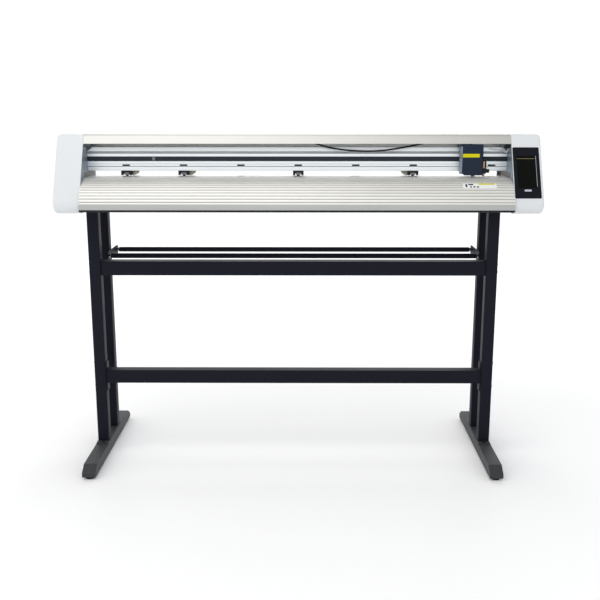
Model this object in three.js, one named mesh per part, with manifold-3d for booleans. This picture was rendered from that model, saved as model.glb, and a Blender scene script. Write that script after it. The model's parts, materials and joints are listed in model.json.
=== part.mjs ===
// Vinyl cutting plotter on its floor stand.
// Millimetres. Origin: floor level, middle of the overall box. +X to the operator's right, -Y front, +Z up.
import * as THREE from 'three';
import { mergeVertices } from 'three/addons/utils/BufferGeometryUtils.js';
import Module from 'manifold-3d';

const wasm = await Module();
wasm.setup();

// ---- driving dimensions -------------------------------------------------------------------------
const GAP = 0.3;                      // between pieces that touch
const HALF_WIDTH = 825;               // outer faces of the end caps
const LEFT_IN = -734;                 // inner face of the left end
const RIGHT_IN = 725;                 // inner face of the right end
const MACHINE_BOTTOM = 886;
const MACHINE_TOP = 1148;
const PLATEN_TOP = 1002;
const STAND_X = -18;                  // the stand sits a little left of the machine's middle
const FOOT_HALF = 300;                // half the length of a foot
const FOOT_TOP = 45;
const GRIT_X = [-600, -400, -200, 0, 200, 400, 600, 672];
const PINCH = [
  { x: -600, lever: 1 },
  { x: -400, lever: 1 },
  { x: 0, lever: 0 },
  { x: 400, lever: -1 },
];
const FEED = { y: 20, z: 994.5 };     // feed shaft axis
const BELT = { y: 23.8, z0: 1056, z1: 1069, core: 13, inner: 13.2, outer: 14.8, left: -772, right: 765 };
const TOOL = { x: 639, y: -20 };      // blade axis
const BEAM = { front: 8, rear: 68, bottom: 1021.3, shoulder: 1088, top: 1102.5 };

// Side outline of the end caps as [y, z, corner radius].
const CAP_OUTLINE = [
  [-158.4, MACHINE_BOTTOM, 30],
  [150, MACHINE_BOTTOM, 30],
  [88, MACHINE_TOP, 30],
  [-29, MACHINE_TOP, 14],
];
const LIP = { y: -45, z: 1116 };      // lower front edge of the top cover

const COLOURS = {
  anodised: [0xd9d5c6, 0.35, 0.9],
  beam_alloy: [0xc3d0de, 0.35, 0.9],
  white_plastic: [0xe9ecef, 0.5, 0.0],
  powder_coat: [0x14161f, 0.5, 0.1],
  foot_paint: [0x34373b, 0.6, 0.1],
  rubber: [0x1c1c1c, 0.9, 0.0],
  plate_steel: [0x8592a3, 0.5, 0.6],
  black_plastic: [0x101216, 0.4, 0.0],
  panel_glass: [0x08090c, 0.1, 0.0],
  display: [0x15171a, 0.2, 0.0],
  belt_rubber: [0x20242e, 0.8, 0.0],
  bright_steel: [0xb8bcc0, 0.3, 1.0],
  copper: [0xb9774f, 0.35, 1.0],
  navy_plastic: [0x1e2a3d, 0.45, 0.0],
  lever_plastic: [0xa9a491, 0.5, 0.0],
  circuit: [0x1f5a35, 0.5, 0.0],
  strip_plastic: [0xe6e6e2, 0.7, 0.0],
  cable: [0x0c0c0e, 0.6, 0.0],
  wire: [0xdde0e2, 0.6, 0.0],
};

const group = new THREE.Group();
group.name = 'printer_cutter';

// ---- helpers ------------------------------------------------------------------------------------
function signedVolume(points, index) {
  const a = new THREE.Vector3();
  const b = new THREE.Vector3();
  const c = new THREE.Vector3();
  let total = 0;
  for (let i = 0; i < index.length; i += 3) {
    a.fromArray(points, index[i] * 3);
    b.fromArray(points, index[i + 1] * 3);
    c.fromArray(points, index[i + 2] * 3);
    total += a.dot(b.cross(c));
  }
  return total;
}

function solid(geometry) {
  const bare = geometry.clone();
  bare.deleteAttribute('normal');
  bare.deleteAttribute('uv');
  const merged = mergeVertices(bare, 1e-4);
  const points = Float32Array.from(merged.attributes.position.array);
  const index = [];
  const source = merged.index.array;
  for (let i = 0; i < source.length; i += 3) {
    const [a, b, c] = [source[i], source[i + 1], source[i + 2]];
    if (a !== b && b !== c && c !== a) {
      index.push(a, b, c);
    }
  }
  if (signedVolume(points, index) < 0) {
    index.reverse();
  }
  const triVerts = Uint32Array.from(index);
  return new wasm.Manifold(new wasm.Mesh({ numProp: 3, vertProperties: points, triVerts }));
}

function add(name, colour, body) {
  const mesh = body.getMesh();
  const geometry = new THREE.BufferGeometry();
  geometry.setAttribute('position', new THREE.BufferAttribute(Float32Array.from(mesh.vertProperties), 3));
  geometry.setIndex(new THREE.BufferAttribute(Uint32Array.from(mesh.triVerts), 1));
  geometry.computeVertexNormals();
  const [color, roughness, metalness] = COLOURS[colour];
  const node = new THREE.Mesh(geometry, new THREE.MeshStandardMaterial({ color, roughness, metalness }));
  node.name = name;
  group.add(node);
}

function joined(parts) {
  return parts.reduce((whole, part) => whole.add(part));
}

function cut(body, tools) {
  return tools.reduce((whole, tool) => whole.subtract(tool), body);
}

function box(x0, x1, y0, y1, z0, z1) {
  const geometry = new THREE.BoxGeometry(x1 - x0, y1 - y0, z1 - z0);
  geometry.translate((x0 + x1) / 2, (y0 + y1) / 2, (z0 + z1) / 2);
  return solid(geometry);
}

function insetPoints(points, d) {
  const n = points.length;
  const lines = points.map(([u, v], i) => {
    const [p, q] = points[(i + 1) % n];
    const along = new THREE.Vector2(p - u, q - v).normalize();
    return { at: new THREE.Vector2(u - along.y * d, v + along.x * d), along };
  });
  return points.map(([, , r], i) => {
    const a = lines[(i + n - 1) % n];
    const b = lines[i];
    const cross = a.along.x * b.along.y - a.along.y * b.along.x;
    const t = ((b.at.x - a.at.x) * b.along.y - (b.at.y - a.at.y) * b.along.x) / cross;
    return [a.at.x + a.along.x * t, a.at.y + a.along.y * t, Math.max((r || 0) - d, 0)];
  });
}

// A closed outline from [u, v, radius] corners; a corner with no radius is sharp.
function outline(points) {
  const shape = new THREE.Shape();
  const n = points.length;
  points.forEach(([u, v, r], i) => {
    const here = new THREE.Vector2(u, v);
    const back = new THREE.Vector2(...points[(i + n - 1) % n].slice(0, 2)).sub(here).normalize();
    const ahead = new THREE.Vector2(...points[(i + 1) % n].slice(0, 2)).sub(here).normalize();
    const half = Math.acos(THREE.MathUtils.clamp(back.dot(ahead), -1, 1)) / 2;
    const reach = r ? r / Math.tan(half) : 0;
    const start = here.clone().addScaledVector(back, reach);
    if (i === 0) {
      shape.moveTo(start.x, start.y);
    } else {
      shape.lineTo(start.x, start.y);
    }
    if (r) {
      const centre = back.clone().add(ahead).normalize().multiplyScalar(r / Math.sin(half)).add(here);
      const end = here.clone().addScaledVector(ahead, reach);
      const a0 = Math.atan2(start.y - centre.y, start.x - centre.x);
      const a1 = Math.atan2(end.y - centre.y, end.x - centre.x);
      const clockwise = back.x * ahead.y - back.y * ahead.x > 0;
      shape.absarc(centre.x, centre.y, r, a0, a1, clockwise);
    }
  });
  shape.closePath();
  return shape;
}

function extrude(shape, length, u, v, w, segments) {
  const geometry = new THREE.ExtrudeGeometry(shape, {
    depth: length,
    bevelEnabled: false,
    curveSegments: segments,
  });
  geometry.applyMatrix4(new THREE.Matrix4().makeBasis(u, v, w));
  return geometry;
}

const AXIS_X = new THREE.Vector3(1, 0, 0);
const AXIS_Y = new THREE.Vector3(0, 1, 0);
const AXIS_Z = new THREE.Vector3(0, 0, 1);

// Outline in (y, z), drawn out along X.
function extrudeX(shape, x0, x1, segments = 6) {
  return solid(extrude(shape, x1 - x0, AXIS_Y, AXIS_Z, AXIS_X, segments).translate(x0, 0, 0));
}

// Outline in (x, z), drawn out along Y.
function extrudeY(shape, y0, y1, segments = 6) {
  return solid(extrude(shape, y1 - y0, AXIS_X, AXIS_Z, AXIS_Y.clone().negate(), segments).translate(0, y1, 0));
}

// Outline in (x, y), drawn out along Z.
function extrudeZ(shape, z0, z1, segments = 6) {
  return solid(extrude(shape, z1 - z0, AXIS_X, AXIS_Y, AXIS_Z, segments).translate(0, 0, z0));
}

// A turned piece: profile is [radius, position along the axis], closed on the axis or on itself.
function turned(axis, centre, profile, segments = 24) {
  const geometry = new THREE.LatheGeometry(profile.map(([r, a]) => new THREE.Vector2(r, a)), segments);
  if (axis === 'x') {
    geometry.rotateZ(-Math.PI / 2);
  }
  if (axis === 'z') {
    geometry.rotateX(Math.PI / 2);
  }
  geometry.translate(...centre);
  return solid(geometry);
}

function rod(axis, centre, radius, a0, a1, segments = 24) {
  return turned(axis, centre, [[0, a0], [radius, a0], [radius, a1], [0, a1]], segments);
}

// ---- stand --------------------------------------------------------------------------------------
const POST = { inner: 673.5, size: 40, front: -64, rear: 85, wall: 2, bottom: 49.3, top: 888.1 };
const FOOT = { width: 46, centre: 692.5, base: 8, tip: 24, slope: 33, block: 45, wall: 3 };
const PLATE_THICK = 4;
const PAD = { radius: 15, y: 281, height: 7.7 };
const CROSSBARS = {
  crossbar_upper: { y0: -57, y1: -7, z0: 661, z1: 711, flange: 0 },
  crossbar_lower: { y0: -57, y1: -13, z0: 266, z1: 314, flange: 30 },
};
const ROLL = { z: 712, ys: { front: 60, rear: 205 }, radius: 9, stub: 4, nut: 7 };
const SIDES = { left: -1, right: 1 };

function foot(side) {
  const centre = STAND_X + side * FOOT.centre;
  const x0 = centre - FOOT.width / 2;
  const x1 = centre + FOOT.width / 2;
  const profile = outline([
    [-FOOT_HALF, FOOT.base],
    [FOOT_HALF, FOOT.base],
    [FOOT_HALF, FOOT.tip, 3],
    [FOOT_HALF - FOOT.slope, FOOT_TOP, 8],
    [FOOT.slope - FOOT_HALF, FOOT_TOP, 8],
    [-FOOT_HALF, FOOT.tip, 3],
  ]);
  const hollow = FOOT_HALF - FOOT.block;
  const cavity = box(x0 + FOOT.wall, x1 - FOOT.wall, -hollow, hollow, 0, FOOT_TOP - FOOT.wall);
  const welded = box(x0 + 1, x1 - 1, POST.front - 24, POST.rear + POST.size + 24, FOOT_TOP - 1,
    FOOT_TOP + PLATE_THICK);
  const bolts = [POST.front - 13, POST.rear + POST.size + 13].map((y) =>
    rod('z', [centre, y, 0], 6, FOOT_TOP, FOOT_TOP + PLATE_THICK + 5, 6));
  return joined([cut(extrudeX(profile, x0, x1), [cavity]), welded, ...bolts]);
}

function pad(side, end) {
  const centre = [STAND_X + side * FOOT.centre, end * PAD.y, 0];
  const profile = [[0, 0], [PAD.radius, 0], [PAD.radius, 4], [PAD.radius - 3, PAD.height], [0, PAD.height]];
  return turned('z', centre, profile, 28);
}

function post(side, y0) {
  const inner = STAND_X + side * POST.inner;
  const outer = inner + side * POST.size;
  const x0 = Math.min(inner, outer);
  const x1 = Math.max(inner, outer);
  const t = POST.wall;
  const shell = box(x0, x1, y0, y0 + POST.size, POST.bottom, POST.top);
  return cut(shell, [box(x0 + t, x1 - t, y0 + t, y0 + POST.size - t, POST.bottom - 1, POST.top + 1)]);
}

function topPlate(side) {
  const inner = STAND_X + side * (POST.inner - 15);
  const outer = STAND_X + side * (POST.inner + POST.size);
  return box(Math.min(inner, outer), Math.max(inner, outer), POST.front - 16, POST.rear + POST.size + 16,
    POST.top + GAP, POST.top + GAP + 5);
}

function crossbar({ y0, y1, z0, z1, flange }) {
  const x0 = STAND_X - POST.inner + GAP;
  const x1 = STAND_X + POST.inner - GAP;
  const parts = [box(x0, x1, y0, y1, z0, z1)];
  if (flange) {
    parts.push(box(x0, x0 + 3, y0, y1 - 8, z0 - flange, z1 + flange));
    parts.push(box(x1 - 3, x1, y0, y1 - 8, z0 - flange, z1 + flange));
  }
  return cut(joined(parts), [box(x0 - 1, x1 + 1, y0 + 2, y1 - 2, z0 + 2, z1 - 2)]);
}

function rollBracket(side) {
  const face = STAND_X + side * (POST.inner - GAP);
  const x0 = Math.min(face, face - side * 4);
  const half = 16;
  const profile = outline([
    [ROLL.ys.front - half, ROLL.z - half, half - 1],
    [ROLL.ys.rear + half, ROLL.z - half, half - 1],
    [ROLL.ys.rear + half, ROLL.z + half, half - 1],
    [ROLL.ys.front - half, ROLL.z + half, half - 1],
  ]);
  const holes = Object.values(ROLL.ys).map((y) =>
    rod('x', [0, y, ROLL.z], ROLL.stub + 0.3, x0 - 1, x0 + 5));
  return cut(extrudeX(profile, x0, x0 + 4), holes);
}

function rollBar(y) {
  const end = POST.inner - GAP - 4;
  const x0 = STAND_X - end;
  const x1 = STAND_X + end;
  const over = 10;
  return turned('x', [0, y, ROLL.z], [
    [0, x0 - over], [ROLL.stub, x0 - over], [ROLL.stub, x0 + GAP], [ROLL.nut, x0 + GAP], [ROLL.nut, x0 + 7],
    [ROLL.radius, x0 + 7], [ROLL.radius, x1 - 7], [ROLL.nut, x1 - 7], [ROLL.nut, x1 - GAP],
    [ROLL.stub, x1 - GAP], [ROLL.stub, x1 + over], [0, x1 + over],
  ]);
}

function addStand() {
  for (const [name, side] of Object.entries(SIDES)) {
    add(`foot_${name}`, 'foot_paint', foot(side));
    add(`foot_pad_front_${name}`, 'rubber', pad(side, -1));
    add(`foot_pad_rear_${name}`, 'rubber', pad(side, 1));
    add(`post_front_${name}`, 'powder_coat', post(side, POST.front));
    add(`post_rear_${name}`, 'powder_coat', post(side, POST.rear));
    add(`top_plate_${name}`, 'powder_coat', topPlate(side));
    add(`roll_bracket_${name}`, 'powder_coat', rollBracket(side));
  }
  for (const [name, size] of Object.entries(CROSSBARS)) {
    add(name, 'powder_coat', crossbar(size));
  }
  for (const [name, y] of Object.entries(ROLL.ys)) {
    add(`roll_bar_${name}`, 'powder_coat', rollBar(y));
  }
}

// ---- machine body -------------------------------------------------------------------------------
const SPAN = [LEFT_IN + GAP, RIGHT_IN - GAP];
const CAP_WALL = 3;
const SIDE_THICK = 4;
const APRON = { y: 45, z: 897, radius: 105, wall: 3, groove: 1.3, first: 11.4, pitch: 6.2, count: 11 };
const SLOPE = new THREE.Vector2(CAP_OUTLINE[3][0] - CAP_OUTLINE[0][0], MACHINE_TOP - MACHINE_BOTTOM);
const PANEL = { x: 773, y: -91.3, z: 1022.1, width: 85, height: 180, thick: 4 };
const DISPLAY = { width: 64, height: 115, up: 3 };
const STATUS = { width: 24, height: 7, up: -64 };
const INLET = { face: HALF_WIDTH - 0.4, y0: 43, y1: 97, z0: 911, z1: 945, depth: 26 };

// The cap's body drawn in by d on every side but the inner one.
function capBody(side, d) {
  const inner = side < 0 ? LEFT_IN : RIGHT_IN;
  const outer = side * (HALF_WIDTH - d);
  const reach = d ? side * -1 : 0;
  const across = extrudeX(outline(insetPoints(CAP_OUTLINE, d)), Math.min(inner + reach, outer),
    Math.max(inner + reach, outer), 8);
  const corners = [
    [inner + reach, MACHINE_BOTTOM + d],
    [outer, MACHINE_BOTTOM + d, 13 - d],
    [outer, MACHINE_TOP - d, 15 - d],
    [inner + reach, MACHINE_TOP - d],
  ];
  return across.intersect(extrudeY(outline(corners), -200, 200, 8));
}

// A box in the sloping front of the right cap: sizes across, along and through the slope.
function slopeBox(width, height, up, back, front) {
  const along = SLOPE.clone().normalize();
  const u = new THREE.Vector3(0, along.x, along.y);
  const n = new THREE.Vector3(0, -along.y, along.x);
  const geometry = new THREE.BoxGeometry(width, height, front - back);
  geometry.translate(0, up, (front + back) / 2);
  geometry.applyMatrix4(new THREE.Matrix4().makeBasis(AXIS_X, u, n));
  geometry.translate(PANEL.x, PANEL.y, PANEL.z);
  return solid(geometry);
}

function endCap(side) {
  const cuts = [capBody(side, CAP_WALL)];
  if (side > 0) {
    cuts.push(slopeBox(PANEL.width + 2 * GAP, PANEL.height + 2 * GAP, 0, -20, 20));
    const { y0, y1, z0, z1 } = INLET;
    cuts.push(box(HALF_WIDTH - 10, HALF_WIDTH + 1, y0 - GAP, y1 + GAP, z0 - GAP, z1 + GAP));
  }
  return cut(capBody(side, 0), cuts);
}

function controlPanel() {
  const plate = slopeBox(PANEL.width, PANEL.height, 0, 0.6 - PANEL.thick, 0.6);
  const pocket = slopeBox(DISPLAY.width + 2 * GAP, DISPLAY.height + 2 * GAP, DISPLAY.up, -1, 2);
  const bar = slopeBox(STATUS.width, STATUS.height, STATUS.up, 0, 1.1);
  return plate.subtract(pocket).add(bar);
}

function sidePlate(side) {
  const face = side < 0 ? LEFT_IN : RIGHT_IN;
  const x0 = Math.min(face, face + side * SIDE_THICK);
  const plate = extrudeX(outline(insetPoints(CAP_OUTLINE, CAP_WALL + GAP)), x0, x0 + SIDE_THICK, 8);
  const window = box(x0 - 1, x0 + SIDE_THICK + 1, 4, 44, BELT.z0 - 4, BELT.z1 + 4);
  const bearing = rod('x', [0, FEED.y, FEED.z], 5.1, x0 - 1, x0 + SIDE_THICK + 1, 32);
  const body = cut(plate, [window, bearing]);
  if (side > 0) {
    const flange = box(face - 12, x0 + 1, 105, 109, 985, 1026);
    return body.add(flange);
  }
  const shelf = box(BELT.left - 22, x0 + 1, BELT.y - 14, BELT.y + 14, BELT.z0 - 14, BELT.z0 - 9);
  const pin = rod('z', [BELT.left, BELT.y, 0], 4, BELT.z0 - 10, BELT.z1 + 5);
  return joined([body, shelf, pin]);
}

function topCover() {
  const [x0, x1] = SPAN;
  const outer = extrudeX(outline(CAP_OUTLINE), x0, x1, 8);
  const inner = extrudeX(outline(insetPoints(CAP_OUTLINE, 2.5)), x0 - 1, x1 + 1, 8);
  const keep = box(x0, x1, -100, 40, LIP.z, 1200).add(box(x0, x1, 30, 200, 1060, 1200));
  const fold = box(x0, x1, LIP.y + 1.6, LIP.y + 14, LIP.z, LIP.z + 2.5);
  return outer.subtract(inner).intersect(keep).add(fold);
}

// Half a bowed media guide, with the ribs' grooves cut along it.
function apron(side) {
  const [x0, x1] = SPAN;
  const shape = new THREE.Shape();
  const inner = APRON.radius - APRON.wall;
  const centreY = side * APRON.y;
  const at = (radius, degrees) => {
    const a = THREE.MathUtils.degToRad(degrees);
    return [centreY + side * radius * Math.sin(a), APRON.z + radius * Math.cos(a)];
  };
  const half = 0.8;
  shape.moveTo(...at(APRON.radius, 0));
  for (let i = 0; i < APRON.count; i += 1) {
    const middle = APRON.first + i * APRON.pitch;
    shape.lineTo(...at(APRON.radius, middle - APRON.pitch / 2));
    shape.lineTo(...at(APRON.radius, middle - half));
    shape.lineTo(...at(APRON.radius - APRON.groove, middle - half / 2));
    shape.lineTo(...at(APRON.radius - APRON.groove, middle + half / 2));
    shape.lineTo(...at(APRON.radius, middle + half));
  }
  for (let degrees = 78; degrees <= 90; degrees += 4) {
    shape.lineTo(...at(APRON.radius, degrees));
  }
  shape.lineTo(centreY + side * (inner - 20), APRON.z);
  shape.lineTo(centreY + side * (inner - 20), APRON.z + 3);
  for (let degrees = 88; degrees >= 0; degrees -= 8) {
    shape.lineTo(...at(inner, degrees));
  }
  shape.closePath();
  return extrudeX(shape, x0, x1);
}

function platen() {
  const [x0, x1] = SPAN;
  const edge = APRON.y - GAP;
  const under = PLATEN_TOP - 5;
  const profile = outline([
    [-edge, under],
    [FEED.y - 6.5, under],
    [FEED.y - 6.5, PLATEN_TOP - 2],
    [FEED.y + 6.5, PLATEN_TOP - 2],
    [FEED.y + 6.5, under],
    [edge, under],
    [edge, PLATEN_TOP],
    [TOOL.y + 4.3, PLATEN_TOP],
    [TOOL.y + 4.3, PLATEN_TOP - 2],
    [TOOL.y - 4.3, PLATEN_TOP - 2],
    [TOOL.y - 4.3, PLATEN_TOP],
    [-edge, PLATEN_TOP],
  ]);
  const slots = GRIT_X.map((x) => box(x - 14.5, x + 14.5, FEED.y - 9.2, FEED.y + 9.2, under - 1, PLATEN_TOP + 1));
  return cut(extrudeX(profile, x0, x1), slots);
}

function baseFrame() {
  const [x0, x1] = SPAN;
  const floor = APRON.z - 3 - GAP;
  const web = PLATEN_TOP - 5 - GAP;
  const profile = outline([
    [-146, floor], [146, floor], [146, floor + 3], [43, floor + 3], [43, web], [40, web],
    [40, floor + 3], [-29, floor + 3], [-29, web], [-32, web], [-32, floor + 3], [-146, floor + 3],
  ]);
  return extrudeX(profile, x0, x1);
}

function beam() {
  const [x0, x1] = SPAN;
  const { front, rear, bottom, shoulder, top } = BEAM;
  const groove = (z) => [[front, z - 0.8], [front + 1.6, z - 0.8], [front + 1.6, z + 0.8], [front, z + 0.8]];
  const profile = outline([
    [front, bottom, 1],
    ...groove(1036.3),
    [front, 1054],
    [front + 3.5, 1054],
    [front + 3.5, 1050],
    [rear - 4, 1050],
    [rear - 4, 1075],
    [front + 3.5, 1075],
    [front + 3.5, 1070.5],
    [front, 1070.5],
    ...groove(1081),
    [front, shoulder],
    [front + 4, shoulder + 1.5],
    [front + 5, top, 1],
    [rear, top, 1],
    [rear, 1050],
    [rear - 3, 1050],
    [rear - 3, 1045],
    [rear, 1045],
    [rear, bottom, 1],
  ].reverse());
  const lower = outline([[front + 4, bottom + 3.5], [rear - 6, bottom + 3.5], [rear - 6, 1046], [front + 4, 1046]]);
  const upper = outline([[front + 4, 1079], [rear - 4, 1079], [rear - 4, top - 3], [front + 8, top - 3],
    [front + 8, shoulder + 1], [front + 4, shoulder - 2]]);
  const tunnels = [lower, upper].map((hole) => extrudeX(hole, x0 - 1, x1 + 1));
  const bevels = [[x0, 1], [x1, -1]].map(([end, inward]) => {
    const corner = [[end - inward, shoulder + 1.5], [end + inward * 9, top + 1], [end - inward, top + 1]];
    return extrudeY(outline(inward > 0 ? corner : corner.reverse()), front - 1, rear + 1);
  });
  return cut(extrudeX(profile, x0, x1), [...tunnels, ...bevels]);
}

function addBody() {
  for (const [name, side] of Object.entries(SIDES)) {
    add(`side_plate_${name}`, 'plate_steel', sidePlate(side));
    add(`end_cap_${name}`, 'white_plastic', endCap(side));
  }
  add('control_panel', 'panel_glass', controlPanel());
  add('display', 'display', slopeBox(DISPLAY.width, DISPLAY.height, DISPLAY.up, -0.7, 0.6));
  add('top_cover', 'anodised', topCover());
  add('apron_front', 'anodised', apron(-1));
  add('apron_rear', 'anodised', apron(1));
  add('platen', 'anodised', platen());
  const stripTop = PLATEN_TOP + 0.3;
  add('cutting_strip', 'strip_plastic', box(SPAN[0] + 3, SPAN[1] - 3, TOOL.y - 4, TOOL.y + 4,
    PLATEN_TOP - 2 + GAP, stripTop));
  add('base_frame', 'foot_paint', baseFrame());
  add('beam', 'beam_alloy', beam());
}

// ---- drives and electrics -----------------------------------------------------------------------
function belt() {
  const stadium = (path, radius) => {
    path.absarc(BELT.right, BELT.y, radius, -Math.PI / 2, Math.PI / 2, false);
    path.absarc(BELT.left, BELT.y, radius, Math.PI / 2, 1.5 * Math.PI, false);
    path.closePath();
    return path;
  };
  const shape = stadium(new THREE.Shape(), BELT.outer);
  shape.holes.push(stadium(new THREE.Path(), BELT.inner));
  return extrudeZ(shape, BELT.z0, BELT.z1, 16);
}

const FLANGE = BELT.core + 3;

function pulleyRim() {
  return [[FLANGE, BELT.z0 - 2.5], [FLANGE, BELT.z0 - 1], [BELT.core, BELT.z0 - 1], [BELT.core, BELT.z1 + 1],
    [FLANGE, BELT.z1 + 1], [FLANGE, BELT.z1 + 2.5]];
}

function drivePulley() {
  const profile = [[0, BELT.z0 - 2.5], ...pulleyRim(), [4, BELT.z1 + 2.5], [4, BELT.z1 + 26], [0, BELT.z1 + 26]];
  return turned('z', [BELT.right, BELT.y, 0], profile, 32);
}

function idlerPulley() {
  const bore = 4.1;
  const profile = [[bore, BELT.z0 - 2.5], ...pulleyRim(), [bore, BELT.z1 + 2.5], [bore, BELT.z0 - 2.5]];
  return turned('z', [BELT.left, BELT.y, 0], profile, 32);
}

function carriageMotor() {
  const z0 = BELT.z1 + 11;
  const half = 28.5;
  const shape = outline([[-half, -half, 5], [half, -half, 5], [half, half, 5], [-half, half, 5]]);
  const can = extrudeZ(shape, z0, z0 + 56).translate([BELT.right, BELT.y, 0]);
  return can.subtract(rod('z', [BELT.right, BELT.y, 0], 4.3, z0 - 1, z0 + 18));
}

function feedMotor() {
  const x0 = RIGHT_IN + SIDE_THICK + 12;
  const half = 28.5;
  const shape = outline([[-half, -half, 5], [half, -half, 5], [half, half, 5], [-half, half, 5]]);
  const can = extrudeX(shape, x0, x0 + 60).translate([0, FEED.y, FEED.z]);
  return can.subtract(rod('x', [0, FEED.y, FEED.z], 5.3, x0 - 1, x0 + 25));
}

function feedShaft() {
  const shaft = 5;
  const grit = 8.1;
  const profile = [[0, LEFT_IN - 14], [shaft, LEFT_IN - 14]];
  for (const x of GRIT_X) {
    profile.push([shaft, x - 13], [grit, x - 13], [grit, x + 13], [shaft, x + 13]);
  }
  const end = RIGHT_IN + SIDE_THICK + 34;
  profile.push([shaft, end], [0, end]);
  return turned('x', [0, FEED.y, FEED.z], profile, 24);
}

function mainboard() {
  const face = RIGHT_IN + SIDE_THICK;
  const board = box(face + 6, face + 8, -95, 115, 900, 960);
  const feet = [[-88, 907], [108, 907], [-88, 953], [108, 953]].map(([y, z]) =>
    rod('x', [0, y, z], 3, face + GAP, face + 7, 12));
  const chips = [
    box(face + 7, face + 12, -60, -30, 915, 945),
    box(face + 7, face + 20, -10, 25, 905, 935),
    box(face + 7, face + 16, 50, 90, 912, 950),
  ];
  return joined([board, ...feet, ...chips]);
}

function powerInlet() {
  const { face, y0, y1, z0, z1, depth } = INLET;
  const flange = box(face - 2.4, face, y0, y1, z0, z1);
  const body = box(face - depth, face - 1, y0 + 4, y1 - 4, z0 + 4, z1 - 4);
  const socket = box(face - 16, face + 1, y0 + 7, y0 + 31, z0 + 7, z1 - 7);
  const pocket = box(face - 18, face + 1, y0 + 34, y1 - 6, z0 + 7, z1 - 7);
  const pins = [[10, 14], [18, 19], [26, 14]].map(([y, z]) =>
    box(face - 17, face - 3, y0 + y + 0.2, y0 + y + 2.2, z0 + z - 3, z0 + z + 3));
  return joined([cut(flange.add(body), [socket, pocket]), ...pins]);
}

// The rocker turns about an axis along Y; it is stored in the off position, tipped 8 degrees.
function powerSwitch() {
  const rocker = new THREE.Shape();
  const radius = 8.6;
  rocker.moveTo(7, -radius);
  rocker.lineTo(7, radius);
  rocker.absarc(0, 0, radius, Math.PI / 2, 1.5 * Math.PI, false);
  rocker.closePath();
  const body = extrudeY(rocker, INLET.y0 + 35, INLET.y1 - 7, 8);
  return body.rotate([0, -8, 0]).translate([INLET.face - 8.1, 0, (INLET.z0 + INLET.z1) / 2]);
}

function limitSensor() {
  const x1 = RIGHT_IN - GAP;
  const block = box(x1 - 14, x1, -26, -12, 1100, 1112);
  const points = [[x1 - 6, -18, 1100.5], [x1 - 4, -19, 1093], [x1 - 8, -12, 1087], [x1 - 14, -2, 1088],
    [x1 - 22, 7.5, 1091.5], [x1 - 38, 10, 1093.5], [x1 - 62, 10.2, 1097]];
  return block.add(tube(points, 1.3, 24, 3));
}

// A round cable along a smooth line through the points.
function tube(points, radius, steps, sides) {
  const path = new THREE.CatmullRomCurve3(points.map((p) => new THREE.Vector3(...p)));
  const ring = new THREE.Shape();
  ring.absarc(0, 0, radius, 0, 2 * Math.PI, false);
  const geometry = new THREE.ExtrudeGeometry(ring, { steps, extrudePath: path, curveSegments: sides });
  return solid(geometry);
}

function carriageCable() {
  return tube([
    [42, 2, 1122], [70, -6, 1112], [130, -12, 1098], [225, -13, 1090], [300, -12, 1093], [380, -10, 1106],
    [450, -9, 1119], [520, -10, 1123], [572, -16, 1121], [594, -24, 1117.4],
  ], 3, 44, 4);
}

function addDrives() {
  add('drive_belt', 'belt_rubber', belt());
  add('drive_pulley', 'bright_steel', drivePulley());
  add('idler_pulley', 'bright_steel', idlerPulley());
  add('carriage_motor', 'black_plastic', carriageMotor());
  add('feed_motor', 'black_plastic', feedMotor());
  add('feed_shaft', 'bright_steel', feedShaft());
  add('mainboard', 'circuit', mainboard());
  add('power_inlet', 'black_plastic', powerInlet());
  add('power_switch', 'black_plastic', powerSwitch());
  add('limit_sensor', 'wire', limitSensor());
  add('carriage_cable', 'cable', carriageCable());
}

// ---- carriage and tool --------------------------------------------------------------------------
const COVER = { x0: 561.5, x1: 632.5, y0: -43, y1: -5, z0: 1009.5, z1: 1113, wall: 2 };
const BASE = { x0: 558.2, x1: 652, y0: -4, y1: 4, z0: 1026, z1: 1108 };
const SHELF = { y0: -34, z0: 1013, z1: 1016 };
const FLANK_FRONT = -42;
const CLAMP = { x0: 633.2, x1: 646, y0: -28, y1: -9, z0: 1014, z1: 1032 };
const RAIL = { x0: 639, x1: 645, y0: -7 };

function carriageBase() {
  const { x0, x1, y0, y1, z0, z1 } = BASE;
  const flank = extrudeX(outline([
    [y1, SHELF.z0], [FLANK_FRONT, SHELF.z0, 12], [FLANK_FRONT, z1, 4], [y1, z1],
  ].reverse()), x0, x0 + 3);
  const shelf = box(x0, COVER.x1 - 3, SHELF.y0 + 12, y1, SHELF.z0, SHELF.z1);
  const back = box(x0, x1, y0, y1, z0, z1).add(box(x0, COVER.x1, y0, y1, SHELF.z0, z0 + 1));
  const roof = box(x0 + 3, x0 + 73, y0, BEAM.rear + 5, BEAM.top + 1.5, z1);
  const hook = box(x0 + 3, x0 + 73, BEAM.rear + 1, BEAM.rear + 5, 1084, z1);
  const lug = box(590, 606, y1 - 1, 9 - GAP, BELT.z0 + 1, BELT.z1 - 1);
  const stub = rod('z', [604, -14, 0], 6.5, 1003.4, 1014, 16);
  const rail = box(RAIL.x0, RAIL.x1, RAIL.y0, y0 + 1, 1030, 1090);
  return joined([back, flank, shelf, roof, hook, lug, stub, rail]);
}

function carriageCover() {
  const { x0, x1, y0, y1, z0, z1, wall } = COVER;
  const shape = outline([[x0, y0, 4], [x1, y0, 4], [x1, y1], [x0, y1]]);
  const inside = outline([[x0 + wall, y0 + wall, 2], [x1 - wall, y0 + wall, 2], [x1 - wall, y1 + 1],
    [x0 + wall, y1 + 1]]);
  const notch = box(x0 - 1, x0 + wall + 1, SHELF.y0 - GAP, y1 + 1, z0 - 1, SHELF.z1 + GAP);
  return cut(extrudeZ(shape, z0, z1), [extrudeZ(inside, z0 - 1, z1 - wall), notch]);
}

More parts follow.
